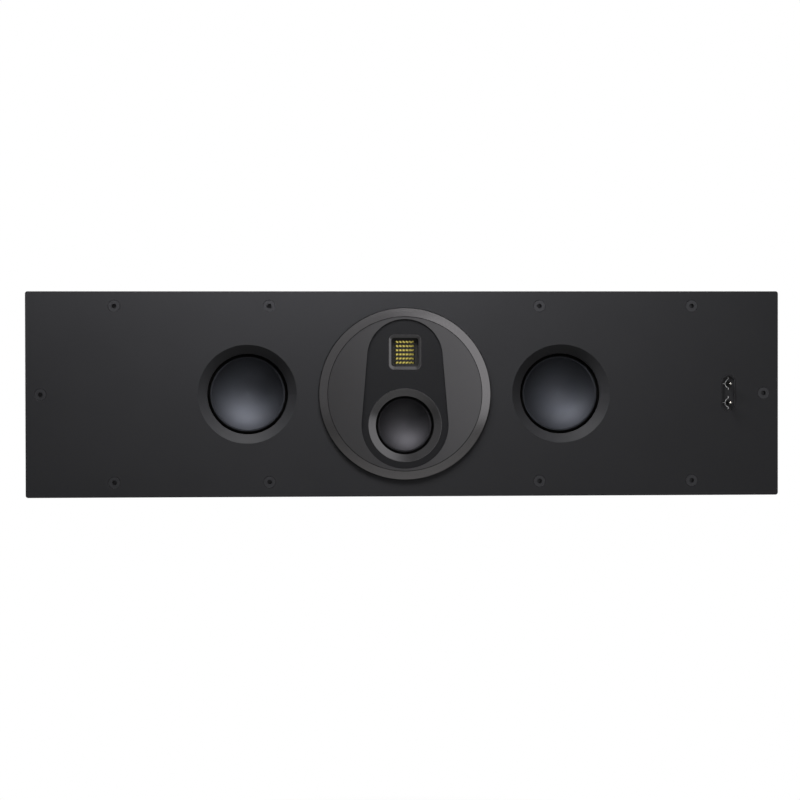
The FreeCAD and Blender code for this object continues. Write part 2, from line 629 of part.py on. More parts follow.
def make_box():
    """The back box: gasket, four walls, back panel, two braces and the damping pads."""
    gasket = new_body("baffle_gasket")
    frame = [rectangle("2*box_x", "2*box_z"), rectangle("2*inside_x", "2*inside_z")]
    holes = [(*place, "screw_hole_radius") for place in SCREW_PLACES]
    pad(gasket, front_sketch(gasket, "strip", "box_front", frame, holes), "gasket_thick")
    relief = [("0", "0", "relief_radius")]
    pocket(gasket, front_sketch(gasket, "pod_relief", "field_rise", circles=relief), "gasket_thick")
    pieces.append(gasket)
    for label, side, outer in (("cabinet_top", 1, "box_z"), ("cabinet_bottom", -1, "-inside_z")):
        wall = new_body(label)
        outline = rectangle("2*box_x", "wall_thick", "0", f"{side}*screw_z")
        pad(wall, front_sketch(wall, "board", "box_back", [outline]), "box_depth")
        inserts = [(x, z, "insert_hole") for x, z in SCREW_PLACES if z.startswith(f"{side}*")]
        pocket(wall, front_sketch(wall, "insert_holes", "box_front", circles=inserts),
               "insert_length + thread_gap")
        pocket(wall, front_sketch(wall, "pod_relief", "box_front", circles=relief), "relief_end - box_front")
        drill = new_sketch(wall, "fixings", "XY_Plane", outer)
        for a in (-1, 1):
            draw_circle(drill, f"{a}*fixing_x", "box_front + box_depth/2", "fixing_radius")
        pocket(wall, drill, "wall_thick")
        pieces.append(wall)
    for label, side in (("cabinet_left_end", -1), ("cabinet_right_end", 1)):
        wall = new_body(label)
        outline = rectangle("wall_thick", "2*inside_z", f"{side}*screw_x")
        pad(wall, front_sketch(wall, "board", "box_back", [outline]), "box_depth")
        insert = (f"{side}*screw_x", "0", "insert_hole")
        pocket(wall, front_sketch(wall, "insert_hole", "box_front", circles=[insert]),
               "insert_length + thread_gap")
        pieces.append(wall)
    back = new_body("cabinet_back")
    hole = ("grommet_x", "-grommet_drop", "grommet_neck + thread_gap")
    outline = rectangle("2*inside_x", "2*inside_z")
    pad(back, front_sketch(back, "board", "box_back", [outline], [hole]), "back_thick")
    pieces.append(back)
    brace = new_body("cabinet_brace")
    sketch = new_sketch(brace, "board", "YZ_Plane")
    middle = "(box_front + back_inside)/2"
    draw(sketch, rectangle("back_inside - box_front", "2*inside_z", middle))
    draw(sketch, obround("brace_window_depth", "brace_window_height", middle))
    feature = pad(brace, sketch, "brace_thick")
    feature.Midplane = True
    group("cabinet_braces", brace, [(f"{side}*brace_x", "0", "0") for side in (-1, 1)])
    soft = []
    for side, x in WOOFERS.items():
        soft.append(block(f"damping_pad_{side}",
                          (f"{x} - pad_width/2", "back_inside - pad_thick", "pad_margin - inside_z"),
                          (f"{x} + pad_width/2", "back_inside", "inside_z - pad_margin")))
    pads = doc.addObject("Part::Compound", "damping_pads")
    pads.Links = soft
    pieces.append(pads)
    turned("cable_grommet", [
        ("grommet_bore", "back_inside - grommet_lip_thick"),
        ("grommet_lip", "back_inside - grommet_lip_thick"),
        ("grommet_lip", "back_inside"),
        ("grommet_neck", "back_inside"),
        ("grommet_neck", "box_back"),
        ("grommet_lip", "box_back"),
        ("grommet_lip", "box_back + grommet_lip_thick"),
        ("grommet_bore", "box_back + grommet_lip_thick"),
    ], "grommet_x", "0", "-grommet_drop")


def make_cone(label, kind, *place):
    """A dished cone with a flat rim in front and a boss for the coil former behind."""
    rim = f"({kind}_cone_radius - {kind}_rim_width)"
    dish, wall = f"{kind}_cone_depth", f"{kind}_cone_wall"
    ball = f"(({rim}*{rim} + {dish}*{dish})/(2*{dish}))"

    def behind(radius):
        return f"{dish} - {ball} + sqrt({ball}*{ball} - ({radius})*({radius}))"

    coil = f"{kind}_coil_radius"
    boss = f"({coil} + boss_wall)"
    return turned(label, [
        ("dish_flat", f"{behind('dish_flat')} - {wall}", f"{rim}/2", f"{behind(rim + '/2')} - {wall}"),
        ("0", f"{behind('dish_flat')} - {wall}"),
        ("0", dish),
        (coil, behind(coil), f"{coil}/2", behind(f"{coil}/2")),
        (coil, f"{kind}_coil_start"),
        (boss, f"{kind}_coil_start"),
        (boss, behind(boss)),
        (rim, "0", f"({boss} + {rim})/2", behind(f"({boss} + {rim})/2")),
        (f"{kind}_cone_radius", "0"),
        (f"{kind}_cone_radius", f"-{wall}"),
        (rim, f"-{wall}"),
    ], *place)


def make_surround(label, kind, *place):
    """The half-roll between cone and basket, rolled to the rear, with a flat lip on each side."""
    skin, roll = f"{kind}_skin", f"{kind}_roll_radius"
    middle = f"({kind}_cone_radius + roll_start + {roll})"
    behind = f"sqrt({roll}*{roll} + 2*{roll}*{skin})"
    inner = f"{kind}_cone_radius - {kind}_rim_width"
    return turned(label, [
        (inner, "0"),
        (f"{middle} - {roll}", "0"),
        (f"{middle} + {roll}", "0", middle, roll),
        (f"{kind}_edge", "0"),
        (f"{kind}_edge", skin),
        (f"{middle} + {behind}", skin),
        (f"{middle} - {behind}", skin, middle, f"{roll} + {skin}"),
        (inner, skin),
    ], *place)


def make_voice_coil(label, kind, *place):
    """The coil former with its winding, centred on the magnetic gap."""
    inner = f"{kind}_coil_radius"
    outer = f"{inner} + former_wall"
    wound = f"{outer} + winding_wall"
    start = f"{kind}_coil_start"
    middle = f"({kind}_steel + {kind}_pole_thick/2)"
    first, last = f"{middle} - {kind}_winding_length/2", f"{middle} + {kind}_winding_length/2"
    end = f"{start} + {kind}_coil_length"
    return turned(label, [(inner, start), (outer, start), (outer, first), (wound, first), (wound, last),
                          (outer, last), (outer, end), (inner, end)], *place)


def make_spider(label, kind, *place):
    """The corrugated disc that centres the coil, glued to a ledge of the basket."""
    skin, seat, wave = f"{kind}_skin", f"{kind}_spider_depth", f"{kind}_spider_wave"
    inner = f"({kind}_coil_radius + former_wall + glue_gap)"
    outer = f"({kind}_spider_radius - {kind}_spider_land)"
    front, back = [], []
    for step in range(1, 2 * WAVES):
        radius = f"{inner} + ({outer} - {inner})*{step}/{2 * WAVES}"
        swing = f"{(-1) ** step}*{wave}"
        front.append((radius, f"{seat} - {skin} + {swing}"))
        back.append((radius, f"{seat} + {swing}"))
    edge = f"{kind}_spider_radius"
    corners = [(inner, f"{seat} - {skin}"), *front, (outer, f"{seat} - {skin}"), (edge, f"{seat} - {skin}"),
               (edge, seat), (outer, seat), *reversed(back), (inner, seat)]
    return turned(label, corners, *place)


def make_basket(label, kind, *place):
    """The driver's frame: flange, windowed skirt, spider ledge, and a floor that carries the motor."""
    skin, wall, flange = f"{kind}_skin", f"{kind}_basket_wall", f"{kind}_flange_thick"
    ledge, floor = f"{kind}_spider_depth", f"{kind}_basket_depth"
    throat = f"({kind}_edge - {kind}_lip_width + {skin} + roll_start)"
    recess = f"({kind}_edge + roll_start/2)"
    skirt = f"({kind}_spider_radius + roll_start)"
    neck = f"({kind}_spider_radius - {kind}_spider_land)"
    hole = f"({kind}_coil_radius + former_wall + winding_wall + 2*coil_gap)"
    body = turned(label, [
        (throat, skin),
        (recess, skin),
        (recess, "0"),
        (f"{kind}_flange_radius", "0"),
        (f"{kind}_flange_radius", flange),
        (f"{throat} + {wall}", flange),
        (f"{skirt} + {wall}", ledge),
        (f"{skirt} + {wall}", f"{ledge} + {wall}"),
        (f"{neck} + {wall}", f"{ledge} + {wall}"),
        (f"{neck} + {wall}", floor),
        (hole, floor),
        (hole, f"{floor} - {wall}"),
        (neck, f"{floor} - {wall}"),
        (neck, ledge),
        (skirt, ledge),
    ], *place)
    sketch = new_sketch(body, "window", "XY_Plane")
    top, bottom = f"{flange} + {wall}/2", f"{ledge} - {wall}"
    far = f"{kind}_flange_radius"
    draw(sketch, [(neck, top), (far, top), (far, bottom), (neck, bottom)])
    window = pocket(body, sketch, f"{kind}_window_width", middle=True)
    polar(body, window, sketch, BASKET_WINDOWS)
    return body


def make_woofer(side, x):
    """One woofer: moving cone and coil, surround, spider, basket and ferrite motor."""
    place = (x, "woofer_seat", "0")
    name = f"{side}_woofer"
    make_cone(f"{name}_cone", "woofer", *place)
    make_voice_coil(f"{name}_voice_coil", "woofer", *place)
    make_surround(f"{name}_surround", "woofer", *place)
    make_spider(f"{name}_spider", "woofer", *place)
    basket = make_basket(f"{name}_basket", "woofer", *place)
    holes = [(f"{a}*woofer_screw_reach*sqrt(0.5)", f"{b}*woofer_screw_reach*sqrt(0.5)",
              "woofer_screw_radius + thread_gap") for a, b in DIAGONALS]
    pocket(basket, front_sketch(basket, "screw_holes", "0", circles=holes), "woofer_flange_thick")
    plate = "woofer_basket_depth"
    magnet = f"{plate} + woofer_pole_thick"
    yoke = f"{magnet} + woofer_magnet_thick"
    gap_outer = "woofer_coil_radius + former_wall + winding_wall + coil_gap"
    turned(f"{name}_front_plate", [
        (gap_outer, plate), ("woofer_plate_radius", plate),
        ("woofer_plate_radius", magnet), (gap_outer, magnet),
    ], *place)
    turned(f"{name}_magnet", [
        ("woofer_magnet_hole", magnet), ("woofer_magnet_radius", magnet),
        ("woofer_magnet_radius", yoke), ("woofer_magnet_hole", yoke),
    ], *place)
    turned(f"{name}_yoke", [
        ("woofer_vent_radius", plate),
        ("woofer_coil_radius - coil_gap", plate),
        ("woofer_coil_radius - coil_gap", yoke),
        ("woofer_plate_radius", yoke),
        ("woofer_plate_radius", f"{yoke} + woofer_pole_thick"),
        ("woofer_vent_radius", f"{yoke} + woofer_pole_thick"),
    ], *place)


def make_woofer_screws():
    """Eight pan-head screws that hold the baskets to the back of the baffle."""
    head = "field_rise + woofer_flange_thick"
    tip = f"{head} - woofer_screw_length"
    screw = turned("woofer_screw", [
        ("0", tip),
        ("woofer_screw_radius", tip),
        ("woofer_screw_radius", head),
        ("woofer_screw_head", head),
        ("woofer_screw_head", f"{head} + woofer_screw_head_thick/2"),
        ("woofer_screw_radius", f"{head} + woofer_screw_head_thick"),
        ("0", f"{head} + woofer_screw_head_thick"),
    ], keep=False)
    group("woofer_screws", screw, [(x, "0", z) for x, z in WOOFER_SCREWS])


def make_pod():
    """The turning pod: carrier, face with its pear window, bezel, rear cup and ring nut."""
    carrier = turned("pod_carrier", [
        ("0", "carrier_front"),
        ("face_radius", "carrier_front"),
        ("face_radius", "bezel_floor"),
        ("pod_radius - bezel_wall - thread_gap", "bezel_floor"),
        ("pod_radius - bezel_wall - thread_gap", "carrier_rear"),
        ("spigot_radius", "carrier_rear"),
        ("spigot_radius", "spigot_end"),
        ("spigot_bore", "spigot_end"),
        ("spigot_bore", "carrier_rear"),
        ("0", "carrier_rear"),
    ])
    shoulder = front_sketch(carrier, "trim_seats", "carrier_front",
                            [rounded("trim_width + 2*trim_gap", "trim_height + 2*trim_gap",
                                     "trim_corner + trim_gap", "0", "tweeter_rise")],
                            [("0", "-mid_drop", "mid_trim_radius + mid_trim_gap")])
    pocket(carrier, shoulder, "trim_step")
    through = front_sketch(carrier, "driver_holes", "carrier_front",
                           [rounded("window_width + 2*trim_wall + 2*trim_gap",
                                    "window_height + 2*trim_wall + 2*trim_gap",
                                    "window_corner + trim_wall + trim_gap", "0", "tweeter_rise")],
                           [("0", "-mid_drop", "mid_trim_body + mid_trim_gap")])
    pocket(carrier, through, "carrier_rear - carrier_front")
    face = turned("pod_face", [
        ("0", "carrier_front"),
        ("face_radius", "carrier_front"),
        ("face_radius", "carrier_front - face_thick"),
        ("0", "carrier_front - face_thick - face_dome", "face_radius/2",
         "carrier_front - face_thick - face_dome*3/4"),
    ])
    window = front_sketch(face, "window", "carrier_front - face_thick - 2*face_dome", [pear()])
    pocket(face, window, "face_thick + 2*face_dome")
    turned("pod_bezel", [
        ("bezel_inner", "bezel_floor"),
        ("pod_radius - bezel_wall", "bezel_floor"),
        ("pod_radius - bezel_wall", "carrier_rear"),
        ("pod_radius", "carrier_rear"),
        ("pod_radius", "front - bezel_edge_rise"),
        ("bezel_inner", "front - bezel_rise", "pod_radius - bezel_width/2",
         "front - (bezel_rise + bezel_edge_rise)/2 - bezel_crown"),
    ])
    plug = "spigot_bore - thread_gap"
    neck = f"{plug} - spigot_wall"
    turned("pod_rear_cup", [
        (neck, "spigot_end - plug_depth"),
        (plug, "spigot_end - plug_depth"),
        (plug, "spigot_end"),
        ("spigot_radius", "spigot_end"),
        ("spigot_radius", "spigot_end + cup_depth"),
        ("0", "spigot_end + cup_depth"),
        ("0", "spigot_end + cup_depth - spigot_wall"),
        (plug, "spigot_end + cup_depth - spigot_wall"),
        (plug, "spigot_end + 2*spigot_wall"),
        (neck, "spigot_end + spigot_wall"),
    ])
    inner, start = "spigot_radius + thread_gap", "field_rise + running_gap"
    end = f"{start} + nut_thick"
    nut = turned("pod_ring_nut", [(inner, start), ("nut_radius", start), ("nut_radius", end), (inner, end)])
    sketch = new_sketch(nut, "notch", "XY_Plane")
    shallow, outside, floor = "nut_radius - nut_wall/2", "nut_radius + nut_wall", f"{start} + nut_thick/2"
    draw(sketch, [(shallow, floor), (outside, floor), (outside, end), (shallow, end)])
    notch = pocket(nut, sketch, "nut_notch", middle=True)
    polar(nut, notch, sketch, NUT_NOTCHES)


def make_midrange():
    """The midrange in the pod: trim ring, cone driver and its small cup motor."""
    place = ("0", "carrier_rear", "-mid_drop")
    make_cone("mid_cone", "mid", *place)
    make_voice_coil("mid_voice_coil", "mid", *place)
    make_surround("mid_surround", "mid", *place)
    make_spider("mid_spider", "mid", *place)
    make_basket("mid_basket", "mid", *place)
    start, gap = "mid_basket_depth", "mid_coil_radius + former_wall + winding_wall + coil_gap"
    cup_floor = "mid_cup_end - mid_cup_floor"
    turned("mid_motor_cup", [
        (gap, start), ("mid_cup_radius", start), ("mid_cup_radius", "mid_cup_end"),
        ("0", "mid_cup_end"), ("0", cup_floor), (gap, cup_floor),
    ], *place)
    magnet = f"{cup_floor} - mid_magnet_thick"
    pole = "mid_coil_radius - coil_gap"
    turned("mid_magnet", [
        ("0", magnet), (f"{pole} - coil_gap", magnet), (f"{pole} - coil_gap", cup_floor), ("0", cup_floor),
    ], *place)
    turned("mid_pole_cap", [("0", "mid_steel"), (pole, "mid_steel"), (pole, magnet), ("0", magnet)], *place)
    turned("mid_trim_ring", [
        ("mid_trim_radius", "carrier_front"),
        ("mid_trim_radius", "carrier_front + mid_trim_step"),
        ("mid_trim_body", "carrier_front + mid_trim_step"),
        ("mid_trim_body", "carrier_rear"),
        ("mid_opening_radius", "carrier_rear"),
        ("mid_opening_radius", "carrier_rear - mid_opening_lip"),
        ("mid_trim_radius - mid_trim_edge", "carrier_front"),
    ], "0", "0", "-mid_drop")


def make_tweeter():
    """The pleated tweeter: trim frame, slotted plates, folded diaphragm, bar magnets and rear cover."""
    centre = ("0", "tweeter_rise")
    trim = new_body("tweeter_trim")
    outer = rounded("trim_width", "trim_height", "trim_corner", *centre)
    pad(trim, front_sketch(trim, "shoulder", "carrier_front + trim_step", [outer]), "trim_step")
    sleeve = rounded("window_width + 2*trim_wall", "window_height + 2*trim_wall",
                     "window_corner + trim_wall", *centre)
    pad(trim, front_sketch(trim, "sleeve", "carrier_rear", [sleeve]), "carrier_rear - carrier_front")
    opening = rounded("window_width", "window_height", "window_corner", *centre)
    pocket(trim, front_sketch(trim, "opening", "carrier_front", [opening]), "carrier_rear - carrier_front")
    mouth = front_sketch(trim, "mouth", "carrier_front",
                         [rounded("trim_width - 2*trim_edge", "trim_height - 2*trim_edge",
                                  "trim_corner - trim_edge", *centre)])
    throat = front_sketch(trim, "throat", "carrier_front + bevel_depth", [opening])
    bevel = trim.newObject("PartDesign::SubtractiveLoft", "tweeter_trim_bevel")
    bevel.Profile = mouth
    bevel.Sections = [throat]
    bevel.Ruled = True
    pieces.append(trim)

    rows = [f"tweeter_rise + slot_pitch*{step - (SLOTS - 1) / 2}" for step in range(SLOTS)]
    slots = [rectangle("slot_width", "slot_height", "0", row) for row in rows]
    motor = rectangle("motor_width", "motor_height", *centre)
    plate = new_body("tweeter_front_plate")
    pad(plate, front_sketch(plate, "plate", "plate_seam", [motor]), "pole_plate_thick")
    step_up = rounded("window_width - 2*trim_gap", "window_height - 2*trim_gap",
                      "window_corner - trim_gap", *centre)
    pad(plate, front_sketch(plate, "step", "carrier_rear", [step_up]), "carrier_rear - tweeter_front")
    pocket(plate, front_sketch(plate, "slots", "tweeter_front", slots), "plate_seam - tweeter_front")
    hollow = rounded("hollow_width", "hollow_height", "window_corner - trim_gap - hollow_wall", *centre)
    pocket(plate, front_sketch(plate, "hollow", "plate_seam", [hollow]),
           "plate_seam - tweeter_front - grille_thick", towards_front=True)
    pieces.append(plate)
    rear = new_body("tweeter_rear_plate")
    pad(rear, front_sketch(rear, "plate", "rear_plate_back", [motor]), "pole_plate_thick")
    pocket(rear, front_sketch(rear, "slots", "rear_plate_front", slots), "pole_plate_thick")
    pieces.append(rear)

    bars = []
    inner = "window_width/2"
    for side, low, high in (("left", "-motor_width/2", f"-{inner}"), ("right", inner, "motor_width/2")):
        bars.append(block(f"tweeter_bar_{side}", (low, "plate_seam", "tweeter_rise - motor_height/2"),
                          (high, "rear_plate_front", "tweeter_rise + motor_height/2")))
    magnets = doc.addObject("Part::Compound", "tweeter_magnets")
    magnets.Links = bars
    pieces.append(magnets)

    film = new_body("pleated_diaphragm", "0", "0", "tweeter_rise")
    sketch = new_sketch(film, "folds", "XY_Plane")
    near, far = "film_near", "film_near + pleat_depth"
    wing = f"({inner} - film_gap)"
    folds = []
    for step in range(2 * PLEATS + 1):
        level = far if step % 2 == 0 else near
        folds.append((f"pleat_pitch*{(step - PLEATS) / 2}", level))
    face = [(f"-{wing}", far), *folds, (wing, far)]
    behind = [(x, f"{y} + film_thick") for x, y in reversed(face)]
    draw(sketch, face + behind)
    fold = pad(film, sketch, "hollow_height - 2*film_gap")
    fold.Midplane = True
    pieces.append(film)

    cover = new_body("tweeter_rear_cover")
    outside = rounded("motor_width - 2*rear_cover_margin", "motor_height - 2*rear_cover_margin",
                      "window_corner + rear_cover_wall", *centre)
    inside = rounded("motor_width - 2*rear_cover_margin - 2*rear_cover_wall",
                     "motor_height - 2*rear_cover_margin - 2*rear_cover_wall", "window_corner", *centre)
    end = "rear_plate_back + rear_cover_depth"
    pad(cover, front_sketch(cover, "cover", end, [outside]), "rear_cover_depth")
    pocket(cover, front_sketch(cover, "hollow", "rear_plate_back", [inside]),
           "rear_cover_depth - rear_cover_wall")
    pieces.append(cover)


def make_switches():
    """The switch cup with two toggle switches, their nuts and their levers."""
    cup = new_body("switch_cup")
    outer = obround("switch_cup_width", "switch_cup_height", "switch_x")
    pad(cup, front_sketch(cup, "cup", "switch_back", [outer]), "switch_back - front")
    flange = rectangle("switch_cup_width + 2*switch_cup_flange",
                       "switch_cup_height + 2*switch_cup_flange", "switch_x")
    pad(cup, front_sketch(cup, "flange", "switch_back", [flange]), "switch_cup_flange_thick")
    inner = obround("switch_cup_width - 2*switch_cup_wall",
                    "switch_cup_height - 2*switch_cup_wall", "switch_x")
    pocket(cup, front_sketch(cup, "hollow", "front", [inner]), "switch_cup_depth")
    holes = [("switch_x", f"{side}*switch_pitch/2", "bush_radius + thread_gap") for side in (-1, 1)]
    pocket(cup, front_sketch(cup, "holes", "switch_floor", circles=holes), "switch_cup_floor")
    pieces.append(cup)

    body = new_body("switch_body")
    outline = rectangle("switch_body_width", "switch_body_height")
    pad(body, front_sketch(body, "case", "switch_back + switch_body_depth", [outline]), "switch_body_depth")
    pad(body, front_sketch(body, "bush", "switch_back", circles=[("0", "0", "bush_radius")]),
        "switch_back - bush_end")
    pocket(body, front_sketch(body, "bore", "bush_end", circles=[("0", "0", "bush_bore")]),
           "lever_sink + lever_ball_radius + bush_bore")
    tags = [rectangle("switch_body_width/3", "switch_cup_wall", "0", f"{step}*switch_body_height/3")
            for step in (-1, 0, 1)]
    tag_end = "switch_back + switch_body_depth + switch_tag_length"
    pad(body, front_sketch(body, "tags", tag_end, tags), "switch_tag_length")
    corner, half = "switch_nut_radius*2/sqrt(3)", "switch_nut_radius"
    nut = new_body("switch_nut")
    hexagon = [("0", corner), (f"-{half}", f"{corner}/2"), (f"-{half}", f"-{corner}/2"),
               ("0", f"-{corner}"), (half, f"-{corner}/2"), (half, f"{corner}/2")]
    hole = ("0", "0", "bush_radius + thread_gap")
    pad(nut, front_sketch(nut, "hexagon", "switch_floor", [hexagon], [hole]), "switch_nut_thick")
    places = [("switch_x", "0", f"{side}*switch_pitch/2") for side in (1, -1)]
    group("switch_bodies", body, places)
    group("switch_nuts", nut, places)

    ball, neck, tip = "lever_ball_radius", "lever_neck_radius", "lever_tip_radius"
    shoulder = f"-sqrt({ball}*{ball} - {neck}*{neck})"
    for name, side in (("upper", 1), ("lower", -1)):
        turned(f"{name}_switch_lever", [
            ("0", "-lever_length"),
            (tip, f"-lever_length + {tip}", f"{tip}*sqrt(0.5)", f"-lever_length + {tip}*(1 - sqrt(0.5))"),
            (neck, shoulder),
            ("0", ball, ball, "0"),
        ], "switch_x", "lever_pivot", f"{side}*switch_pitch/2")


def make_crossover():
    """The crossover board on its pillars, with coils, capacitors and resistors."""
    pillar_x, pillar_z = "(board_width/2 - pillar_inset)", "(board_height/2 - pillar_inset)"
    corners = [(f"board_x + {a}*{pillar_x}", f"{b}*{pillar_z}") for a, b in DIAGONALS]
    board = new_body("crossover_board")
    outline = rectangle("board_width", "board_height", "board_x")
    holes = [(x, z, "pillar_pin + thread_gap") for x, z in corners]
    pad(board, front_sketch(board, "board", "board_rear", [outline], holes), "board_thick")
    pieces.append(board)
    head = "board_front - pillar_pin"
    pillar = turned("crossover_pillar", [
        ("0", head), ("pillar_pin", head), ("pillar_head", "board_front"), ("pillar_pin", "board_front"),
        ("pillar_pin", "board_rear"), ("pillar_radius", "board_rear"), ("pillar_radius", "back_inside"),
        ("0", "back_inside"),
    ], keep=False)
    group("crossover_pillars", pillar, [(x, "0", z) for x, z in corners])
    coil = turned("crossover_coil", [
        ("coil_hole", "board_front - coil_height"), ("coil_radius", "board_front - coil_height"),
        ("coil_radius", "board_front"), ("coil_hole", "board_front"),
    ], keep=False)
    coil_x = "board_x - board_width/2 + coil_radius + pillar_inset"
    group("crossover_coils", coil, [(coil_x, "0", f"{step}*coil_pitch") for step in (-1, 0, 1)])
    right = "board_x + board_width/2"
    first = f"{right} - 3*capacitor_radius - 2*pillar_inset"
    second = f"{right} - capacitor_radius - pillar_inset"
    can = doc.addObject("Part::Cylinder", "crossover_capacitor")
    can.setExpression("Radius", bound("capacitor_radius"))
    can.setExpression("Height", bound("capacitor_length"))
    level = "board_front - capacitor_radius - part_gap"
    rows = ("coil_pitch - capacitor_length/2", "-capacitor_length/2")
    group("crossover_capacitors", can, [(x, level, z) for x in (first, second) for z in rows])
    bar = doc.addObject("Part::Box", "crossover_resistor")
    bar.setExpression("Length", bound("resistor_length"))
    bar.setExpression("Width", bound("resistor_width"))
    bar.setExpression("Height", bound("resistor_width"))
    start = f"{right} - resistor_length - pillar_inset"
    rows = [f"-coil_pitch + {step}*2*capacitor_radius - resistor_width/2" for step in (0, 1)]
    group("crossover_resistors", bar, [(start, "board_front - resistor_width", z) for z in rows])


def make_lead(route):
    """A round lead through points of three sizes, each corner an arc as large as its runs allow."""
    points = [FreeCAD.Vector(*[length(text) for text in place]) for place in route]
    edges, start = [], points[0]
    for before, corner, after in zip(points, points[1:], points[2:]):
        back, ahead = before - corner, after - corner
        cut = BEND_SHARE * min(back.Length, ahead.Length)
        half = back.getAngle(ahead) / 2
        back.normalize()
        ahead.normalize()
        inward = back + ahead
        inward.normalize()
        radius = cut * math.tan(half)
        middle = corner + inward * (radius / math.sin(half) - radius)
        first, last = corner + back * cut, corner + ahead * cut
        edges += [Part.LineSegment(start, first).toShape(), Part.Arc(first, middle, last).toShape()]
        start = last
    edges.append(Part.LineSegment(start, points[-1]).toShape())
    path = Part.Wire(edges)
    section = Part.Wire(Part.makeCircle(length("lead_radius"), points[0], points[1] - points[0]))
    tube = path.makePipeShell([section], True, False)
    stated = math.pi * length("lead_radius") ** 2 * path.Length
    if not math.isclose(tube.Volume, stated, rel_tol=0.01):
        raise RuntimeError("a lead's volume isn't its section times its length")
    return tube


def make_leads():
    """Leads from the board to both woofers, the pod and the switches, on their real routes."""
    edge = "board_x - board_width/2"
    level = "board_front - lead_radius - part_gap"
    run = "spigot_end + cup_depth + lead_run_gap"
    neck = "woofer_spider_radius - woofer_spider_land + woofer_basket_wall + part_gap"
    tag = "woofer_seat + (woofer_spider_depth + woofer_basket_depth)/2 + woofer_basket_wall/2"
    beside = "(brace_x + brace_thick/2 + woofer_x - woofer_magnet_radius)/2"
    near = f"{edge} - 2*lead_reach"

    def off_board(height):
        return [(f"{edge} + lead_lap", level, height), (f"{edge} - lead_reach", level, height)]

    to_right = off_board("0") + [
        (f"{edge} - lead_reach", tag, "0"),
        (f"woofer_x + {neck}", tag, "0"),
    ]
    to_left = off_board("-lead_height") + [
        (near, run, "-lead_run_height"),
        (f"-({beside})", run, "-lead_run_height"),
        (f"-({beside})", tag, "0"),
        (f"-woofer_x + {neck}", tag, "0"),
    ]
    pod_back = "spigot_end + cup_depth"
    to_pod = off_board("lead_height") + [
        (near, run, "lead_run_height"),
        (beside, run, "lead_run_height"),
        ("0", f"{pod_back} + lead_slack", "0"),
        ("0", f"{pod_back} + running_gap", "0"),
    ]
    tag_end = "switch_back + switch_body_depth + switch_tag_length + part_gap"
    routes = [to_right, to_left, to_pod]
    for side in (-1, 1):
        height = f"{side}*switch_pitch/2"
        routes.append([("switch_x", "board_front - part_gap", height), ("switch_x", tag_end, height)])
    leads = doc.addObject("Part::Feature", "driver_leads")
    leads.Shape = Part.makeCompound([make_lead(route) for route in routes])
    pieces.append(leads)


def check_and_write():
    """Stop if anything failed to build, then write one file for each piece."""
    doc.recompute()
    failed = [item.Name for item in doc.Objects if {"Invalid", "Error"} & set(item.State)]
    for piece in pieces:
        shape = piece.Shape
        if shape.isNull() or not shape.isValid() or not shape.Solids:
            failed.append(piece.Label)
    if failed:
        raise RuntimeError("did not build: " + ", ".join(failed))
    os.makedirs("parts", exist_ok=True)
    for piece in pieces:
        piece.Shape.exportStep(f"parts/{piece.Label}.step")


make_baffle()
make_baffle_screws()
make_box()
for woofer_side, woofer_place in WOOFERS.items():
    make_woofer(woofer_side, woofer_place)
make_woofer_screws()
make_pod()
make_midrange()
make_tweeter()
make_switches()
make_crossover()
make_leads()
check_and_write()
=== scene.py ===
"""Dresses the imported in-wall loudspeaker: its finishes, soft parts, switch marks and the studio round it.

Lengths are metres in the part's own frame: X along the baffle, Y into the wall and Z up.
"""

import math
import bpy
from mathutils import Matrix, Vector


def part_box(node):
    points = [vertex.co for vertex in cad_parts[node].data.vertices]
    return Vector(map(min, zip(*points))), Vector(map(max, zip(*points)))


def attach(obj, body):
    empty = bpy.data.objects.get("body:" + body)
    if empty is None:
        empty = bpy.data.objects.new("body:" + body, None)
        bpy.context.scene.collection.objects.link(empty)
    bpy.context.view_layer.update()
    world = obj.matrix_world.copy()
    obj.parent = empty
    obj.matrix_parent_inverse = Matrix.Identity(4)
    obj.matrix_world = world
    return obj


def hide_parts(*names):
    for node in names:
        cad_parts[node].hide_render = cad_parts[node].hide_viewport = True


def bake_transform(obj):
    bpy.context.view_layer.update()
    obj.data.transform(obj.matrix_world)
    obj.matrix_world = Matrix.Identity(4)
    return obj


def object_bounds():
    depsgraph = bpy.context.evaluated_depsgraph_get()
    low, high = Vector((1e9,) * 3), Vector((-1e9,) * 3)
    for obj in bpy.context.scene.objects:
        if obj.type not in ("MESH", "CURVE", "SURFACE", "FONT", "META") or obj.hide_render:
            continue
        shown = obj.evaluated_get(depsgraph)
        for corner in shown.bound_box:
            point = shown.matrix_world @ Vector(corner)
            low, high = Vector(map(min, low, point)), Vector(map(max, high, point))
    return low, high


bl_info = {
    "name": "In-wall speaker",
    "version": (1, 0, 0),
    "blender": (4, 5, 0),
    "location": "View3D > Sidebar > Speaker",
    "description": "Finishes, soft parts and a studio for an in-wall loudspeaker",
    "category": "Object",
}

import bmesh
import bpy
from mathutils import Matrix, Vector

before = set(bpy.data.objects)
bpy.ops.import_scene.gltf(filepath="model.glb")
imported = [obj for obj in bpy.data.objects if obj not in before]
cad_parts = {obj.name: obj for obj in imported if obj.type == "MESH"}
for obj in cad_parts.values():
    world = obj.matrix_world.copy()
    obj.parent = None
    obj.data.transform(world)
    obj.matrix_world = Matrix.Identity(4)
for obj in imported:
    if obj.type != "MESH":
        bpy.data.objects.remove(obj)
cad_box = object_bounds()

MM = 0.001

# Sockets of the Mix node when it mixes colours
MIX_SHARE, MIX_A, MIX_B, MIX_OUT = 0, 6, 7, 2


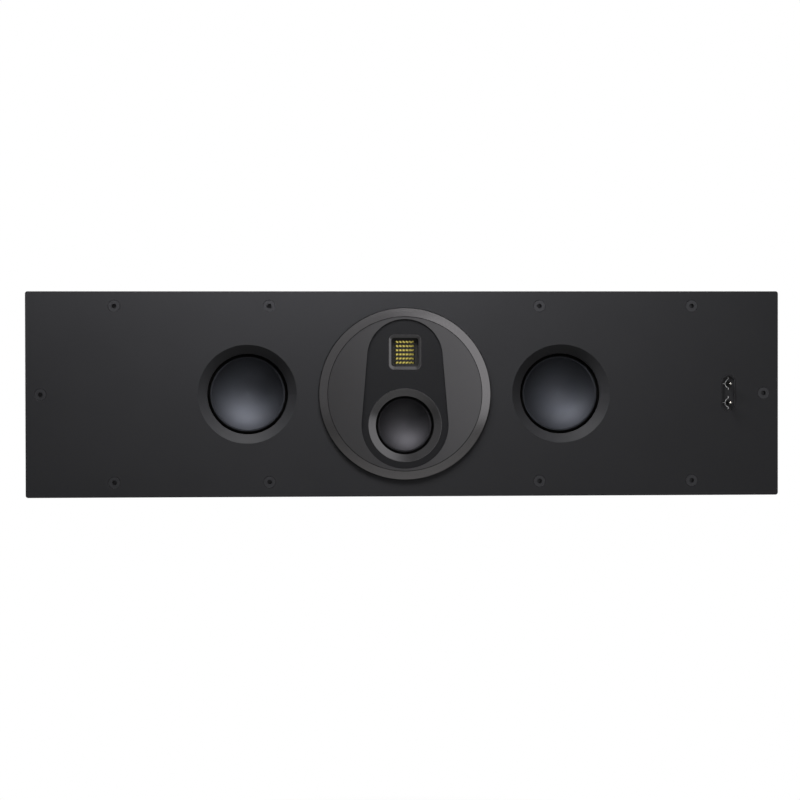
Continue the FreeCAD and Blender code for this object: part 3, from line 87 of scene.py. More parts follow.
def linear(code):
    """An sRGB hex colour as the linear colour that a shader takes."""
    channels = [int(code[start:start + 2], 16) / 255 for start in (1, 3, 5)]
    return [c / 12.92 if c <= 0.04045 else ((c + 0.055) / 1.055) ** 2.4 for c in channels]


def colour_property(name, description, code):
    """A colour that the user may change."""
    return bpy.props.FloatVectorProperty(
        name=name, description=description, subtype="COLOR", size=3, min=0, max=1, default=linear(code))


def length_property(name, description, millimetres):
    """A length that the user may change."""
    return bpy.props.FloatProperty(
        name=name, description=description, unit="LENGTH", min=0, default=millimetres * MM)


def angle_property(name, description, degrees):
    """An angle that the user may change."""
    return bpy.props.FloatProperty(
        name=name, description=description, subtype="ANGLE", default=math.radians(degrees))


class SpeakerFinish(bpy.types.PropertyGroup):
    """Colours of the surfaces that show."""
    baffle: colour_property("Baffle", "Satin lacquer of the baffle", "#2b2b2d")
    bezel: colour_property("Bezel", "Anodised ring round the pod", "#898789")
    pod_face: colour_property("Pod face", "Anodised face of the pod", "#6b6a6c")
    carrier: colour_property("Carrier", "Moulded plate behind the pear window", "#1a1a1c")
    trim: colour_property("Trim", "Anodised rings round the midrange and tweeter", "#747375")
    cone: colour_property("Cone", "Coating of the woofers' cones", "#585a61")
    mid_cone: colour_property("Midrange cone", "Coating of the midrange's cone", "#4f4e52")
    film: colour_property("Film", "Gold side of the pleated film", "#ffed80")
    board: colour_property("Board", "Bare fibreboard of the back box", "#9e815b")
    marks: colour_property("Marks", "Ink of the switch marks", "#a9a9ab")


class SpeakerSizes(bpy.types.PropertyGroup):
    """Sizes of the pieces that are modelled here."""
    woofer_skin: length_property("Woofer skin", "Thickness of a woofer's surround and spider", 0.8)
    surround_rim: length_property("Surround rim", "Surround glued behind a woofer's cone", 1.5)
    spider_bore: length_property("Spider bore", "Radius of a woofer's spider's inner edge", 13.15)
    spider_land: length_property("Spider land", "Flat edge of a woofer's spider", 3)
    mid_skin: length_property("Midrange skin", "Thickness of the midrange's surround and spider", 0.6)
    mid_surround_rim: length_property("Midrange surround rim", "Surround glued behind its cone", 1.4)
    mid_spider_bore: length_property("Midrange spider bore", "Radius of its spider's inner edge", 10.45)
    mid_spider_land: length_property("Midrange spider land", "Flat edge of its spider", 2)
    film_fold: length_property("Film fold", "Pitch of the film's folds", 3.4)
    film_depth: length_property("Film depth", "Depth of the film's folds", 0.65)
    film_skin: length_property("Film skin", "Thickness of the film", 0.15)
    film_row: length_property("Film row", "Pitch of the slots in front of the film", 4.2)
    mark_radius: length_property("Mark radius", "Arc printed beside a switch", 4.4)
    mark_offset: length_property("Mark offset", "Centre of that arc, right of the switch", 1.2)
    mark_width: length_property("Mark width", "Printed line", 0.6)
    mark_tick: length_property("Mark tick", "Printed tick outside the arc", 2.1)


class SpeakerStudio(bpy.types.PropertyGroup):
    """Camera and floor."""
    lens: bpy.props.FloatProperty(
        name="Lens", description="Focal length on a 36 mm sensor", unit="CAMERA", default=93.24)
    distance: length_property("Distance", "Camera to baffle", 2100)
    azimuth: angle_property("Azimuth", "Camera to the right of the baffle's normal", -2.70)
    elevation: angle_property("Elevation", "Camera above the baffle's normal", 0.66)
    roll: angle_property("Roll", "Turn of the camera about its own axis", -0.109)
    aim_left: length_property("Aim left", "Camera's aim, left of the baffle's middle", 4.9)
    aim_down: length_property("Aim down", "Camera's aim, below the baffle's middle", 6.2)
    drop: length_property("Floor", "Floor below the part, which hangs on its wall", 450)


def add(tree, kind, inputs=None, **settings):
    """Add a node with its settings, and fill its inputs with values or with links from other sockets."""
    node = tree.nodes.new(kind)
    for name, value in settings.items():
        setattr(node, name, value)
    for name, value in (inputs or {}).items():
        if isinstance(value, bpy.types.NodeSocket):
            tree.links.new(value, node.inputs[name])
        else:
            node.inputs[name].default_value = value
    return node


def start_material(name, sockets):
    """A material whose shader has these constants, with its tree, its shader and the place on the part."""
    material = bpy.data.materials.new(name)
    material.use_nodes = True
    tree = material.node_tree
    shader = tree.nodes["Principled BSDF"]
    for label, value in sockets.items():
        shader.inputs[label].default_value = value
    place = add(tree, "ShaderNodeTexCoord").outputs["Object"]
    return material, tree, shader, place


def rgba(colour):
    """A colour with full cover."""
    return (*colour, 1)


def toned(colour, share):
    """A share of a colour, with full cover."""
    return rgba([channel * share for channel in colour])


def vary(tree, shader, tint, gloss, shades, roughness):
    """Let one pattern take the colour between two shades, and another the roughness between two values."""
    shade = add(tree, "ShaderNodeMix", {MIX_SHARE: tint, MIX_A: shades[0], MIX_B: shades[1]},
                data_type="RGBA")
    sheen = add(tree, "ShaderNodeMapRange",
                {"Value": gloss, "To Min": roughness[0], "To Max": roughness[1]})
    tree.links.new(shade.outputs[MIX_OUT], shader.inputs["Base Color"])
    tree.links.new(sheen.outputs["Result"], shader.inputs["Roughness"])


def satin_lacquer(colour):
    """Polyurethane lacquer sprayed on sanded fibreboard."""
    # The sprayed coat dries with a faint orange peel, so the satin sheen is soft and a little uneven.
    cloud_size = 70 * MM
    # Real peel is about 1 mm across. It is drawn at 2.5 mm, because 1 mm is a pixel of the render.
    peel_size, peel_depth = 2.5 * MM, 0.2 * MM
    material, tree, shader, place = start_material(
        "satin_lacquer", {"IOR": 1.5, "Specular IOR Level": 0.12})
    cloud = add(tree, "ShaderNodeTexNoise",
                {"Vector": place, "Scale": 1 / cloud_size, "Detail": 3}).outputs["Fac"]
    vary(tree, shader, cloud, cloud, shades=(toned(colour, 0.94), toned(colour, 1.06)),
         roughness=(0.5, 0.58))
    peel = add(tree, "ShaderNodeTexNoise", {"Vector": place, "Scale": 1 / peel_size, "Detail": 2})
    bump = add(tree, "ShaderNodeBump",
               {"Height": peel.outputs["Fac"], "Strength": 0.06, "Distance": peel_depth})
    tree.links.new(bump.outputs["Normal"], shader.inputs["Normal"])
    return material


def anodised_aluminium(name, colour, roughness):
    """Aluminium, turned, bead blasted and anodised dark."""
    # Blasting leaves a fine even grain, so the metal answers the lamps with broad soft light.
    # The grain is about 0.1 mm across. It is drawn at 0.6 mm, near a pixel of the render.
    grain_size, grain_depth = 0.6 * MM, 0.1 * MM
    material, tree, shader, place = start_material(name, {"Metallic": 1})
    grain = add(tree, "ShaderNodeTexNoise",
                {"Vector": place, "Scale": 1 / grain_size, "Detail": 2}).outputs["Fac"]
    vary(tree, shader, grain, grain, shades=(toned(colour, 0.92), toned(colour, 1.08)),
         roughness=(roughness - 0.02, roughness + 0.02))
    bump = add(tree, "ShaderNodeBump", {"Height": grain, "Strength": 0.03, "Distance": grain_depth})
    tree.links.new(bump.outputs["Normal"], shader.inputs["Normal"])
    return material


def moulded_abs(name, colour, grain_mm, roughness):
    """ABS from a spark-eroded mould."""
    # The mould leaves rounded grains, which dull the plastic's own gloss.
    cloud_size, grain_size, grain_depth = 25 * MM, grain_mm * MM, 0.08 * MM
    material, tree, shader, place = start_material(name, {"IOR": 1.53, "Specular IOR Level": 0.15})
    cloud = add(tree, "ShaderNodeTexNoise", {"Vector": place, "Scale": 1 / cloud_size, "Detail": 2})
    grain = add(tree, "ShaderNodeTexVoronoi", {"Vector": place, "Scale": 1 / grain_size},
                feature="SMOOTH_F1").outputs["Distance"]
    vary(tree, shader, cloud.outputs["Fac"], grain, shades=(toned(colour, 0.95), toned(colour, 1.05)),
         roughness=(roughness - 0.05, roughness + 0.05))
    bump = add(tree, "ShaderNodeBump", {"Height": grain, "Strength": 0.12, "Distance": grain_depth})
    tree.links.new(bump.outputs["Normal"], shader.inputs["Normal"])
    return material


def coated_pulp(name, colour):
    """Pressed pulp cone with a graphite coating."""
    # Graphite has a dull bluish lustre of its own. The colour is painted lighter in the middle and darker
    # towards the rim, as painted highlight and painted shade across the dish. Felted fibres show through it
    # as a fine random grain.
    painted_lit_middle, painted_shaded_rim = toned(colour, 1.95), toned(colour, 0.45)
    fibre_size, fibre_depth = 1.4 * MM, 0.1 * MM
    material, tree, shader, place = start_material(name, {"Metallic": 1})
    # The cone's own box becomes a square from -1 to 1, so that a length in it is a share of the radius.
    box = add(tree, "ShaderNodeTexCoord").outputs["Generated"]
    square = add(tree, "ShaderNodeMapping", {"Vector": box, "Location": (-1, 0, -1), "Scale": (2, 0, 2)})
    reach = add(tree, "ShaderNodeVectorMath", {0: square.outputs["Vector"]}, operation="LENGTH")
    # Painted light and shade: lightest in the middle of the cone, darkest at its rim.
    coat = add(tree, "ShaderNodeMix", {MIX_SHARE: reach.outputs["Value"], MIX_A: painted_lit_middle, MIX_B: painted_shaded_rim},
               data_type="RGBA")
    fibre = add(tree, "ShaderNodeTexNoise", {"Vector": place, "Scale": 1 / fibre_size, "Detail": 5,
                                             "Roughness": 0.65, "Distortion": 0.8}).outputs["Fac"]
    fleck = add(tree, "ShaderNodeMapRange", {"Value": fibre, "To Min": 0.88, "To Max": 1.12})
    shade = add(tree, "ShaderNodeMix",
                {MIX_SHARE: 1.0, MIX_A: coat.outputs[MIX_OUT], MIX_B: fleck.outputs["Result"]},
                data_type="RGBA", blend_type="MULTIPLY")
    sheen = add(tree, "ShaderNodeMapRange", {"Value": fibre, "To Min": 0.68, "To Max": 0.76})
    bump = add(tree, "ShaderNodeBump", {"Height": fibre, "Strength": 0.1, "Distance": fibre_depth})
    tree.links.new(shade.outputs[MIX_OUT], shader.inputs["Base Color"])
    tree.links.new(sheen.outputs["Result"], shader.inputs["Roughness"])
    tree.links.new(bump.outputs["Normal"], shader.inputs["Normal"])
    return material


def butyl_rubber():
    """Moulded butyl rubber with its bloom."""
    # Carbon-black rubber is nearly black, and the bloom on it leaves dull greyish patches.
    bloom_size = 6 * MM
    material, tree, shader, place = start_material("butyl_rubber", {"IOR": 1.52, "Specular IOR Level": 0.3})
    bloom = add(tree, "ShaderNodeTexNoise",
                {"Vector": place, "Scale": 1 / bloom_size, "Detail": 4}).outputs["Fac"]
    vary(tree, shader, bloom, bloom, shades=(rgba(linear("#0d0d0d")), rgba(linear("#191919"))),
         roughness=(0.6, 0.8))
    return material


def gold_film(colour, middle, fold, row):
    """Gilded polyimide film, drawn dark along the edges of the slots in front of it as painted shade."""
    # Each unshaded band is bright behind a slot, and beyond its edges the film is painted dark as painted
    # shade. The film is folded, so the bands weave up and down, by this share of their height above or
    # below the film's middle.
    weave = 0.06
    # Half widths of a band, to where its painted shade is full and to where it is fully bright
    full_shade_from, full_light_within = 1.15 * MM, 0.75 * MM
    crease_size = 1.5 * MM
    material, tree, shader, place = start_material("gold_film", {"Metallic": 1})
    local = add(tree, "ShaderNodeMapping", {"Vector": place, "Location": [-part for part in middle]})
    across = add(tree, "ShaderNodeSeparateXYZ", {"Vector": local.outputs["Vector"]})
    turn = add(tree, "ShaderNodeMath", {0: across.outputs["X"], 1: math.tau / fold}, operation="MULTIPLY")
    wave = add(tree, "ShaderNodeMath", {0: turn.outputs[0]}, operation="COSINE")
    sway = add(tree, "ShaderNodeMath", {0: wave.outputs[0], 1: weave, 2: 1}, operation="MULTIPLY_ADD")
    height = add(tree, "ShaderNodeMath", {0: across.outputs["Z"], 1: sway.outputs[0]},
                 operation="MULTIPLY")
    band = add(tree, "ShaderNodeMath", {0: height.outputs[0], 1: row / 2}, operation="PINGPONG")
    unshaded_band = add(tree, "ShaderNodeMapRange", {"Value": band.outputs[0], "From Min": row / 2 - full_shade_from,
                                           "From Max": row / 2 - full_light_within})
    crease = add(tree, "ShaderNodeTexNoise", {"Vector": place, "Scale": 1 / crease_size, "Detail": 2})
    # Painted shade: beyond each band the film is a tenth as bright.
    vary(tree, shader, unshaded_band.outputs["Result"], crease.outputs["Fac"],
         shades=(toned(colour, 0.1), rgba(colour)), roughness=(0.25, 0.35))
    return material


def plated_metal(name, colour, roughness, metallic):
    """Steel or brass with a thin bright or blackened plating."""
    # Turning marks under the plating are too fine to see one by one and only spread the gloss.
    mark_size = 0.8 * MM
    material, tree, shader, place = start_material(name, {"Metallic": metallic})
    marks = add(tree, "ShaderNodeTexNoise",
                {"Vector": place, "Scale": 1 / mark_size, "Detail": 3}).outputs["Fac"]
    vary(tree, shader, marks, marks, shades=(toned(colour, 0.9), toned(colour, 1.05)),
         roughness=(roughness - 0.06, roughness + 0.06))
    return material


def bare_fibreboard(name, colour, sawn):
    """Sanded medium-density fibreboard, with this share of its colour where a sawn edge faces back."""
    # Pressed wood fibre: a pale even brown with short darker fibres and a dry surface. A sawn edge is
    # open fibre, which drinks the light, so it is darker than a sanded face.
    cloud_size, fibre_size, fibre_depth = 60 * MM, 5 * MM, 0.2 * MM
    # The fibres lie along X and are three times as long as wide.
    fibre_shape = (1, 3, 3)
    material, tree, shader, place = start_material(name, {"IOR": 1.45, "Specular IOR Level": 0.2})
    stretched = add(tree, "ShaderNodeMapping", {"Vector": place, "Scale": fibre_shape})
    fibre = add(tree, "ShaderNodeTexNoise",
                {"Vector": stretched.outputs["Vector"], "Scale": 1 / fibre_size, "Detail": 6,
                 "Roughness": 0.7}).outputs["Fac"]
    cloud = add(tree, "ShaderNodeTexNoise", {"Vector": place, "Scale": 1 / cloud_size, "Detail": 2})
    fleck = add(tree, "ShaderNodeMix",
                {MIX_SHARE: fibre, MIX_A: toned(colour, 0.62), MIX_B: toned(colour, 1.2)}, data_type="RGBA")
    sanded = add(tree, "ShaderNodeMix",
                 {MIX_SHARE: cloud.outputs["Fac"], MIX_A: fleck.outputs[MIX_OUT], MIX_B: rgba(colour)},
                 data_type="RGBA")
    normal = add(tree, "ShaderNodeTexCoord").outputs["Normal"]
    facing = add(tree, "ShaderNodeSeparateXYZ", {"Vector": normal})
    edge = add(tree, "ShaderNodeMath", {0: facing.outputs["Y"], 1: 0.5}, operation="GREATER_THAN")
    board = add(tree, "ShaderNodeMix",
                {MIX_SHARE: edge.outputs[0], MIX_A: sanded.outputs[MIX_OUT], MIX_B: rgba([sawn] * 3)},
                data_type="RGBA", blend_type="MULTIPLY")
    sheen = add(tree, "ShaderNodeMapRange", {"Value": fibre, "To Min": 0.75, "To Max": 0.9})
    bump = add(tree, "ShaderNodeBump", {"Height": fibre, "Strength": 0.15, "Distance": fibre_depth})
    tree.links.new(board.outputs[MIX_OUT], shader.inputs["Base Color"])
    tree.links.new(sheen.outputs["Result"], shader.inputs["Roughness"])
    tree.links.new(bump.outputs["Normal"], shader.inputs["Normal"])
    return material


def plain_finish(name, colour, grain_mm, roughness, metallic=0.0):
    """A small or hidden piece's own material with its grain."""
    # These pieces are tiny or shut in the box, so they have their colour, grain and gloss and no more.
    material, tree, shader, place = start_material(name, {"Metallic": metallic})
    grain = add(tree, "ShaderNodeTexNoise",
                {"Vector": place, "Scale": 1 / (grain_mm * MM), "Detail": 3}).outputs["Fac"]
    vary(tree, shader, grain, grain, shades=(toned(colour, 0.8), toned(colour, 1.1)),
         roughness=(roughness - 0.08, roughness + 0.08))
    return material


def finish_nodes(material, *names):
    """Give CAD nodes a material."""
    for name in names:
        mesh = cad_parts[name].data
        mesh.materials.clear()
        mesh.materials.append(material)


def new_piece(name, mesh_maker, material):
    """A mesh object made by a function that fills a bmesh."""
    made = bmesh.new()
    mesh_maker(made)
    bmesh.ops.recalc_face_normals(made, faces=made.faces)
    mesh = bpy.data.meshes.new(name)
    made.to_mesh(mesh)
    made.free()
    mesh.materials.append(material)
    piece = bpy.data.objects.new(name, mesh)
    bpy.context.scene.collection.objects.link(piece)
    return piece


def middle_of(node):
    """Centre of a CAD node's box."""
    low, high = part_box(node)
    return (low + high) / 2


class SPEAKER_OT_baffle(bpy.types.Operator):
    """Lacquer the baffle and blacken its screws."""
    bl_idname = "speaker.baffle"
    bl_label = "Baffle"

    def execute(self, context):
        finish_nodes(satin_lacquer(context.scene.speaker_finish.baffle), "front_baffle")
        # Black oxide leaves the screws a dull charcoal, a little lighter than the lacquer.
        oxide = plated_metal("black_oxide_steel", linear("#3e3e41"), roughness=0.42, metallic=0.6)
        finish_nodes(oxide, "baffle_screws")
        return {"FINISHED"}


class SPEAKER_OT_pod(bpy.types.Operator):
    """Finish the pod's bezel, face and trim, its carrier and the parts behind the baffle."""
    bl_idname = "speaker.pod"
    bl_label = "Pod"

    def execute(self, context):
        finish = context.scene.speaker_finish
        # The turned rings are finer than the face, so the lamps show sharper in them.
        finish_nodes(anodised_aluminium("anodised_bezel", finish.bezel, roughness=0.2), "pod_bezel")
        finish_nodes(anodised_aluminium("anodised_face", finish.pod_face, roughness=0.32), "pod_face")
        trim = anodised_aluminium("anodised_trim", finish.trim, roughness=0.2)
        finish_nodes(trim, "mid_trim_ring", "tweeter_trim")
        plastic = moulded_abs("carrier_abs", finish.carrier, grain_mm=0.8, roughness=0.55)
        finish_nodes(plastic, "pod_carrier", "pod_rear_cup", "pod_ring_nut", "tweeter_rear_cover")
        return {"FINISHED"}


# Folds of the film across the tweeter, and the points along each
FILM_FOLDS = 6
FOLD_STEPS = 12


class SPEAKER_OT_tweeter(bpy.types.Operator):
    """Finish the slotted plate and model the pleated film behind it."""
    bl_idname = "speaker.tweeter"
    bl_label = "Tweeter"

    def execute(self, context):
        finish, sizes = context.scene.speaker_finish, context.scene.speaker_sizes
        # The plate's black coat is nearly matt, so that only the film behind its slots catches the eye.
        coat = plated_metal("coated_plate", linear("#141311"), roughness=0.55, metallic=0.2)
        finish_nodes(coat, "tweeter_front_plate")
        low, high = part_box("pleated_diaphragm")
        gold = gold_film(finish.film, (low + high) / 2, sizes.film_fold, sizes.film_row)
        film = new_piece("pleated_film", lambda mesh: self.fold(mesh, low, high, sizes), gold)
        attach(film, "pod")
        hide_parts("pleated_diaphragm")
        return {"FINISHED"}

    def fold(self, mesh, low, high, sizes):
        """A film in round folds between two flat wings, closed all round."""
        middle, half = (low.x + high.x) / 2, sizes.film_fold * FILM_FOLDS / 2
        valley = low.y + sizes.film_depth
        steps = FILM_FOLDS * FOLD_STEPS
        front = [(low.x, valley)]
        for step in range(steps + 1):
            ridge = (1 - math.cos(math.tau * step / FOLD_STEPS)) / 2
            front.append((middle - half + 2 * half * step / steps, valley - sizes.film_depth * ridge))
        front.append((high.x, valley))
        outline = front + [(x, y + sizes.film_skin) for x, y in reversed(front)]
        count = len(outline)
        lower, upper = [[mesh.verts.new((x, y, z)) for x, y in outline] for z in (low.z, high.z)]
        for index in range(count):
            after = (index + 1) % count
            side = mesh.faces.new((lower[index], lower[after], upper[after], upper[index]))
            side.smooth = index not in (len(front) - 1, count - 1)
        for ring in (lower, upper):
            for index in range(len(front) - 1):
                end = mesh.faces.new((ring[index], ring[index + 1], ring[count - 2 - index],
                                      ring[count - 1 - index]))
                for edge in end.edges:
                    edge.smooth = False


class SPEAKER_OT_cones(bpy.types.Operator):
    """Coat the cones and finish their coils."""
    bl_idname = "speaker.cones"
    bl_label = "Cones"

    def execute(self, context):
        finish = context.scene.speaker_finish
        woofer_pulp = coated_pulp("coated_woofer_pulp", finish.cone)
        finish_nodes(woofer_pulp, "left_woofer_cone", "right_woofer_cone")
        finish_nodes(coated_pulp("coated_mid_pulp", finish.mid_cone), "mid_cone")
        # Enamel on the fine wire is clear, so the copper shows through with a gloss.
        wire = plain_finish("enamelled_wire", linear("#a5623a"), grain_mm=0.4, roughness=0.35, metallic=0.9)
        finish_nodes(wire, "left_woofer_voice_coil", "right_woofer_voice_coil", "mid_voice_coil")
        return {"FINISHED"}


# Soft parts are cut in this many sectors
SECTORS = 6

# Steps round a sector and along a surround's roll, a spider's waves, and the steps along half a wave
SECTOR_STEPS = 16
ROLL_STEPS = 14
SPIDER_WAVES = 3
WAVE_STEPS = 6

# Flat strip of a surround between the cone's edge and the roll
ROLL_GAP = 0.5 * MM


def arc_points(centre, radius, depth, steps):
    """Points (radius, depth) of a half circle that bulges to the rear, from inside to outside."""
    points = []
    for step in range(steps + 1):
        angle = math.pi * step / steps
        points.append((centre - radius * math.cos(angle), depth + radius * math.sin(angle)))
    return points


def surround_profile(node, cone, skin, rim):
    """Outline (radius, depth) of a half-roll surround, where its roll starts and ends, and its front."""
    low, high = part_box(node)
    outer = (high.x - low.x) / 2
    roll = high.y - low.y - skin
    cone_low, cone_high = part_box(cone)
    cone_radius = (cone_high.x - cone_low.x) / 2
    inner = cone_radius - rim
    first = cone_radius + ROLL_GAP
    last = first + 2 * roll
    centre = (first + last) / 2
    front = [(inner, 0), *arc_points(centre, roll, 0, ROLL_STEPS), (outer, 0)]
    back = [(outer, skin), *reversed(arc_points(centre, roll, skin, ROLL_STEPS)), (inner, skin)]
    return front + back, first, last, low.y


def spider_profile(node, skin, bore, land):
    """Outline (radius, depth) of a corrugated spider, where its flat outer edge starts, and its front."""
    low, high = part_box(node)
    outer = (high.x - low.x) / 2
    wave = (high.y - low.y - skin) / 2
    last = outer - land
    count = 2 * SPIDER_WAVES * WAVE_STEPS
    front = []
    for step in range(count + 1):
        turns = step / WAVE_STEPS
        fade = min(1, turns, 2 * SPIDER_WAVES - turns)
        radius = bore + (last - bore) * step / count
        front.append((radius, wave * (1 + fade * math.cos(math.pi * turns))))
    front.append((outer, wave))
    return front + [(radius, depth + skin) for radius, depth in reversed(front)], last, low.y


def sector_of(profile, centre, depth, middle, half):
    """A function that turns a profile through one sector about an axis along Y, with closed ends."""
    def make(mesh):
        rings = []
        for step in range(SECTOR_STEPS + 1):
            angle = middle - half + 2 * half * step / SECTOR_STEPS
            across, up = math.cos(angle), math.sin(angle)
            rings.append([mesh.verts.new((centre.x + radius * across, depth + back, centre.z + radius * up))
                          for radius, back in profile])
        count = len(profile)
        for ring, following in zip(rings, rings[1:]):
            for index in range(count):
                after = (index + 1) % count
                face = mesh.faces.new((ring[index], ring[after], following[after], following[index]))
                face.smooth = True
        for ring in (rings[0], rings[-1]):
            end = mesh.faces.new(ring)
            for edge in end.edges:
                edge.smooth = False
    return make


def bend_sectors(node, profile, depth, material):
    """Replace a round soft node with sectors round its axis."""
    centre, half = middle_of(node), math.pi / SECTORS
    for sector in range(SECTORS):
        middle = math.tau * sector / SECTORS
        mesh_maker = sector_of(profile, centre, depth, middle, half)
        piece = new_piece(f"{node}_sector_{sector + 1}", mesh_maker, material)
        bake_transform(piece)
        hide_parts(node)


class SPEAKER_OT_surrounds(bpy.types.Operator):
    """Model the surrounds in sectors."""
    bl_idname = "speaker.surrounds"
    bl_label = "Surrounds"

    def execute(self, context):
        sizes = context.scene.speaker_sizes
        rubber = butyl_rubber()
        woofer = ("cabinet", sizes.woofer_skin, sizes.surround_rim)
        mid = ("pod", sizes.mid_skin, sizes.mid_surround_rim)
        for driver, shape in (("left_woofer", woofer), ("right_woofer", woofer), ("mid", mid)):
            body, skin, rim = shape
            node, cone = f"{driver}_surround", f"{driver}_cone"
            profile, first, last, depth = surround_profile(node, cone, skin, rim)
            bend_sectors(node, profile, depth, rubber)
        return {"FINISHED"}


class SPEAKER_OT_spiders(bpy.types.Operator):
    """Model the spiders in sectors."""
    bl_idname = "speaker.spiders"
    bl_label = "Spiders"

    def execute(self, context):
        sizes = context.scene.speaker_sizes
        # Resin turns the woven cloth a matt honey brown.
        cloth = plain_finish("impregnated_cloth", linear("#a98233"), grain_mm=0.9, roughness=0.8)
        woofer = ("cabinet", sizes.woofer_skin, sizes.spider_bore, sizes.spider_land)
        mid = ("pod", sizes.mid_skin, sizes.mid_spider_bore, sizes.mid_spider_land)
        for driver, shape in (("left_woofer", woofer), ("right_woofer", woofer), ("mid", mid)):
            body, skin, bore, land = shape
            node, cone = f"{driver}_spider", f"{driver}_cone"
            profile, last, depth = spider_profile(node, skin, bore, land)
            bend_sectors(node, profile, depth, cloth)
        return {"FINISHED"}


# Thickness of the printed ink, and the points along a printed arc
INK_THICK = 0.06 * MM
ARC_STEPS = 24


class SPEAKER_OT_switches(bpy.types.Operator):
    """Finish the switch cup and the toggles, and print the marks beside them."""
    bl_idname = "speaker.switches"
    bl_label = "Switches"

    def execute(self, context):
        finish, sizes = context.scene.speaker_finish, context.scene.speaker_sizes
        plastic = moulded_abs("switch_cup_abs", linear("#2a2a2c"), grain_mm=0.7, roughness=0.55)
        finish_nodes(plastic, "switch_cup")
        # The nuts are black with a soft gloss, and the levers are bright and nearly a mirror.
        brass = plated_metal("blackened_brass", linear("#1c1c1d"), roughness=0.4, metallic=0.7)
        finish_nodes(brass, "switch_nuts", "switch_bodies")
        nickel = plated_metal("nickel_plate", linear("#d9d6cf"), roughness=0.2, metallic=1)
        finish_nodes(nickel, "upper_switch_lever", "lower_switch_lever")
        # Screen ink is an even matt grey.
        ink = plain_finish("printed_ink", finish.marks, grain_mm=1.0, roughness=0.6)
        # The nuts sit on the cup's floor.
        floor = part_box("switch_nuts")[1].y
        for label in ("upper", "lower"):
            lever = middle_of(f"{label}_switch_lever")
            centre = Vector((lever.x, floor, lever.z))
            piece = new_piece(
                f"{label}_switch_marks", lambda mesh: self.print_marks(mesh, centre, sizes), ink)
            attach(piece, "cabinet")
        return {"FINISHED"}

    def print_marks(self, mesh, centre, sizes):
        """An arc on the left of a switch with a tick at its top, middle and bottom."""
        radius, offset, half_width = sizes.mark_radius, sizes.mark_offset, sizes.mark_width / 2
        sweep = math.acos(offset / radius)
        angles = [math.pi - sweep + 2 * sweep * step / ARC_STEPS for step in range(ARC_STEPS + 1)]
        rays = [Vector((math.cos(angle), math.sin(angle))) for angle in angles]
        middle = Vector((offset, 0))
        inner, outer = radius - half_width, radius + half_width
        self.ribbon(mesh, centre, [(middle + ray * inner, middle + ray * outer) for ray in rays])
        height = radius * math.sin(sweep)
        ticks = (((0, height), (0, 1)), ((offset - radius, 0), (-1, 0)), ((0, -height), (0, -1)))
        for root, along in ticks:
            root, along = Vector(root), Vector(along)
            across = Vector((-along.y, along.x)) * half_width
            ends = [root + along * half_width, root + along * (half_width + sizes.mark_tick)]
            self.ribbon(mesh, centre, [(end - across, end + across) for end in ends])

    def ribbon(self, mesh, centre, pairs):
        """A flat closed strip on the cup's floor through pairs of points seen from the front."""
        def vert(point, lift):
            return mesh.verts.new((centre.x + point[0], centre.y - lift, centre.z + point[1]))

        rows = [[vert(a, 0), vert(b, 0), vert(b, INK_THICK), vert(a, INK_THICK)] for a, b in pairs]
        for row, following in zip(rows, rows[1:]):
            for index in range(4):
                after = (index + 1) % 4
                mesh.faces.new((row[index], row[after], following[after], following[index]))
        mesh.faces.new(rows[0])
        mesh.faces.new(rows[-1])


class SPEAKER_OT_box(bpy.types.Operator):
    """Finish the back box with its gasket, grommet, pads and inserts."""
    bl_idname = "speaker.box"
    bl_label = "Back box"

    def execute(self, context):
        board = context.scene.speaker_finish.board
        # The panel's back is a sanded face, and the walls show their sawn edges round it.
        finish_nodes(bare_fibreboard("fibreboard_panel", board, sawn=1), "cabinet_back", "cabinet_braces")
        finish_nodes(bare_fibreboard("fibreboard_wall", board, sawn=0.68), "cabinet_top", "cabinet_bottom")
        end_colour = toned(board, 0.94)[:3]
        end_board = bare_fibreboard("fibreboard_end", end_colour, sawn=0.74)
        finish_nodes(end_board, "cabinet_left_end", "cabinet_right_end")
        finish_nodes(bpy.data.materials.get("butyl_rubber") or butyl_rubber(), "cable_grommet")
        # The foam's fine skin is a dull black.
        foam = plain_finish("closed_cell_foam", linear("#1d1d1f"), grain_mm=1.2, roughness=0.85)
        finish_nodes(foam, "baffle_gasket")
        # Loose fibres make the wadding a soft white.
        wadding = plain_finish("polyester_wadding", linear("#d9d6cf"), grain_mm=3.0, roughness=0.9)
        finish_nodes(wadding, "damping_pads")
        # Fresh turned brass is yellow and bright.
        brass = plain_finish("turned_brass", linear("#b59447"), grain_mm=0.6, roughness=0.3, metallic=1)
        finish_nodes(brass, "threaded_inserts")
        return {"FINISHED"}


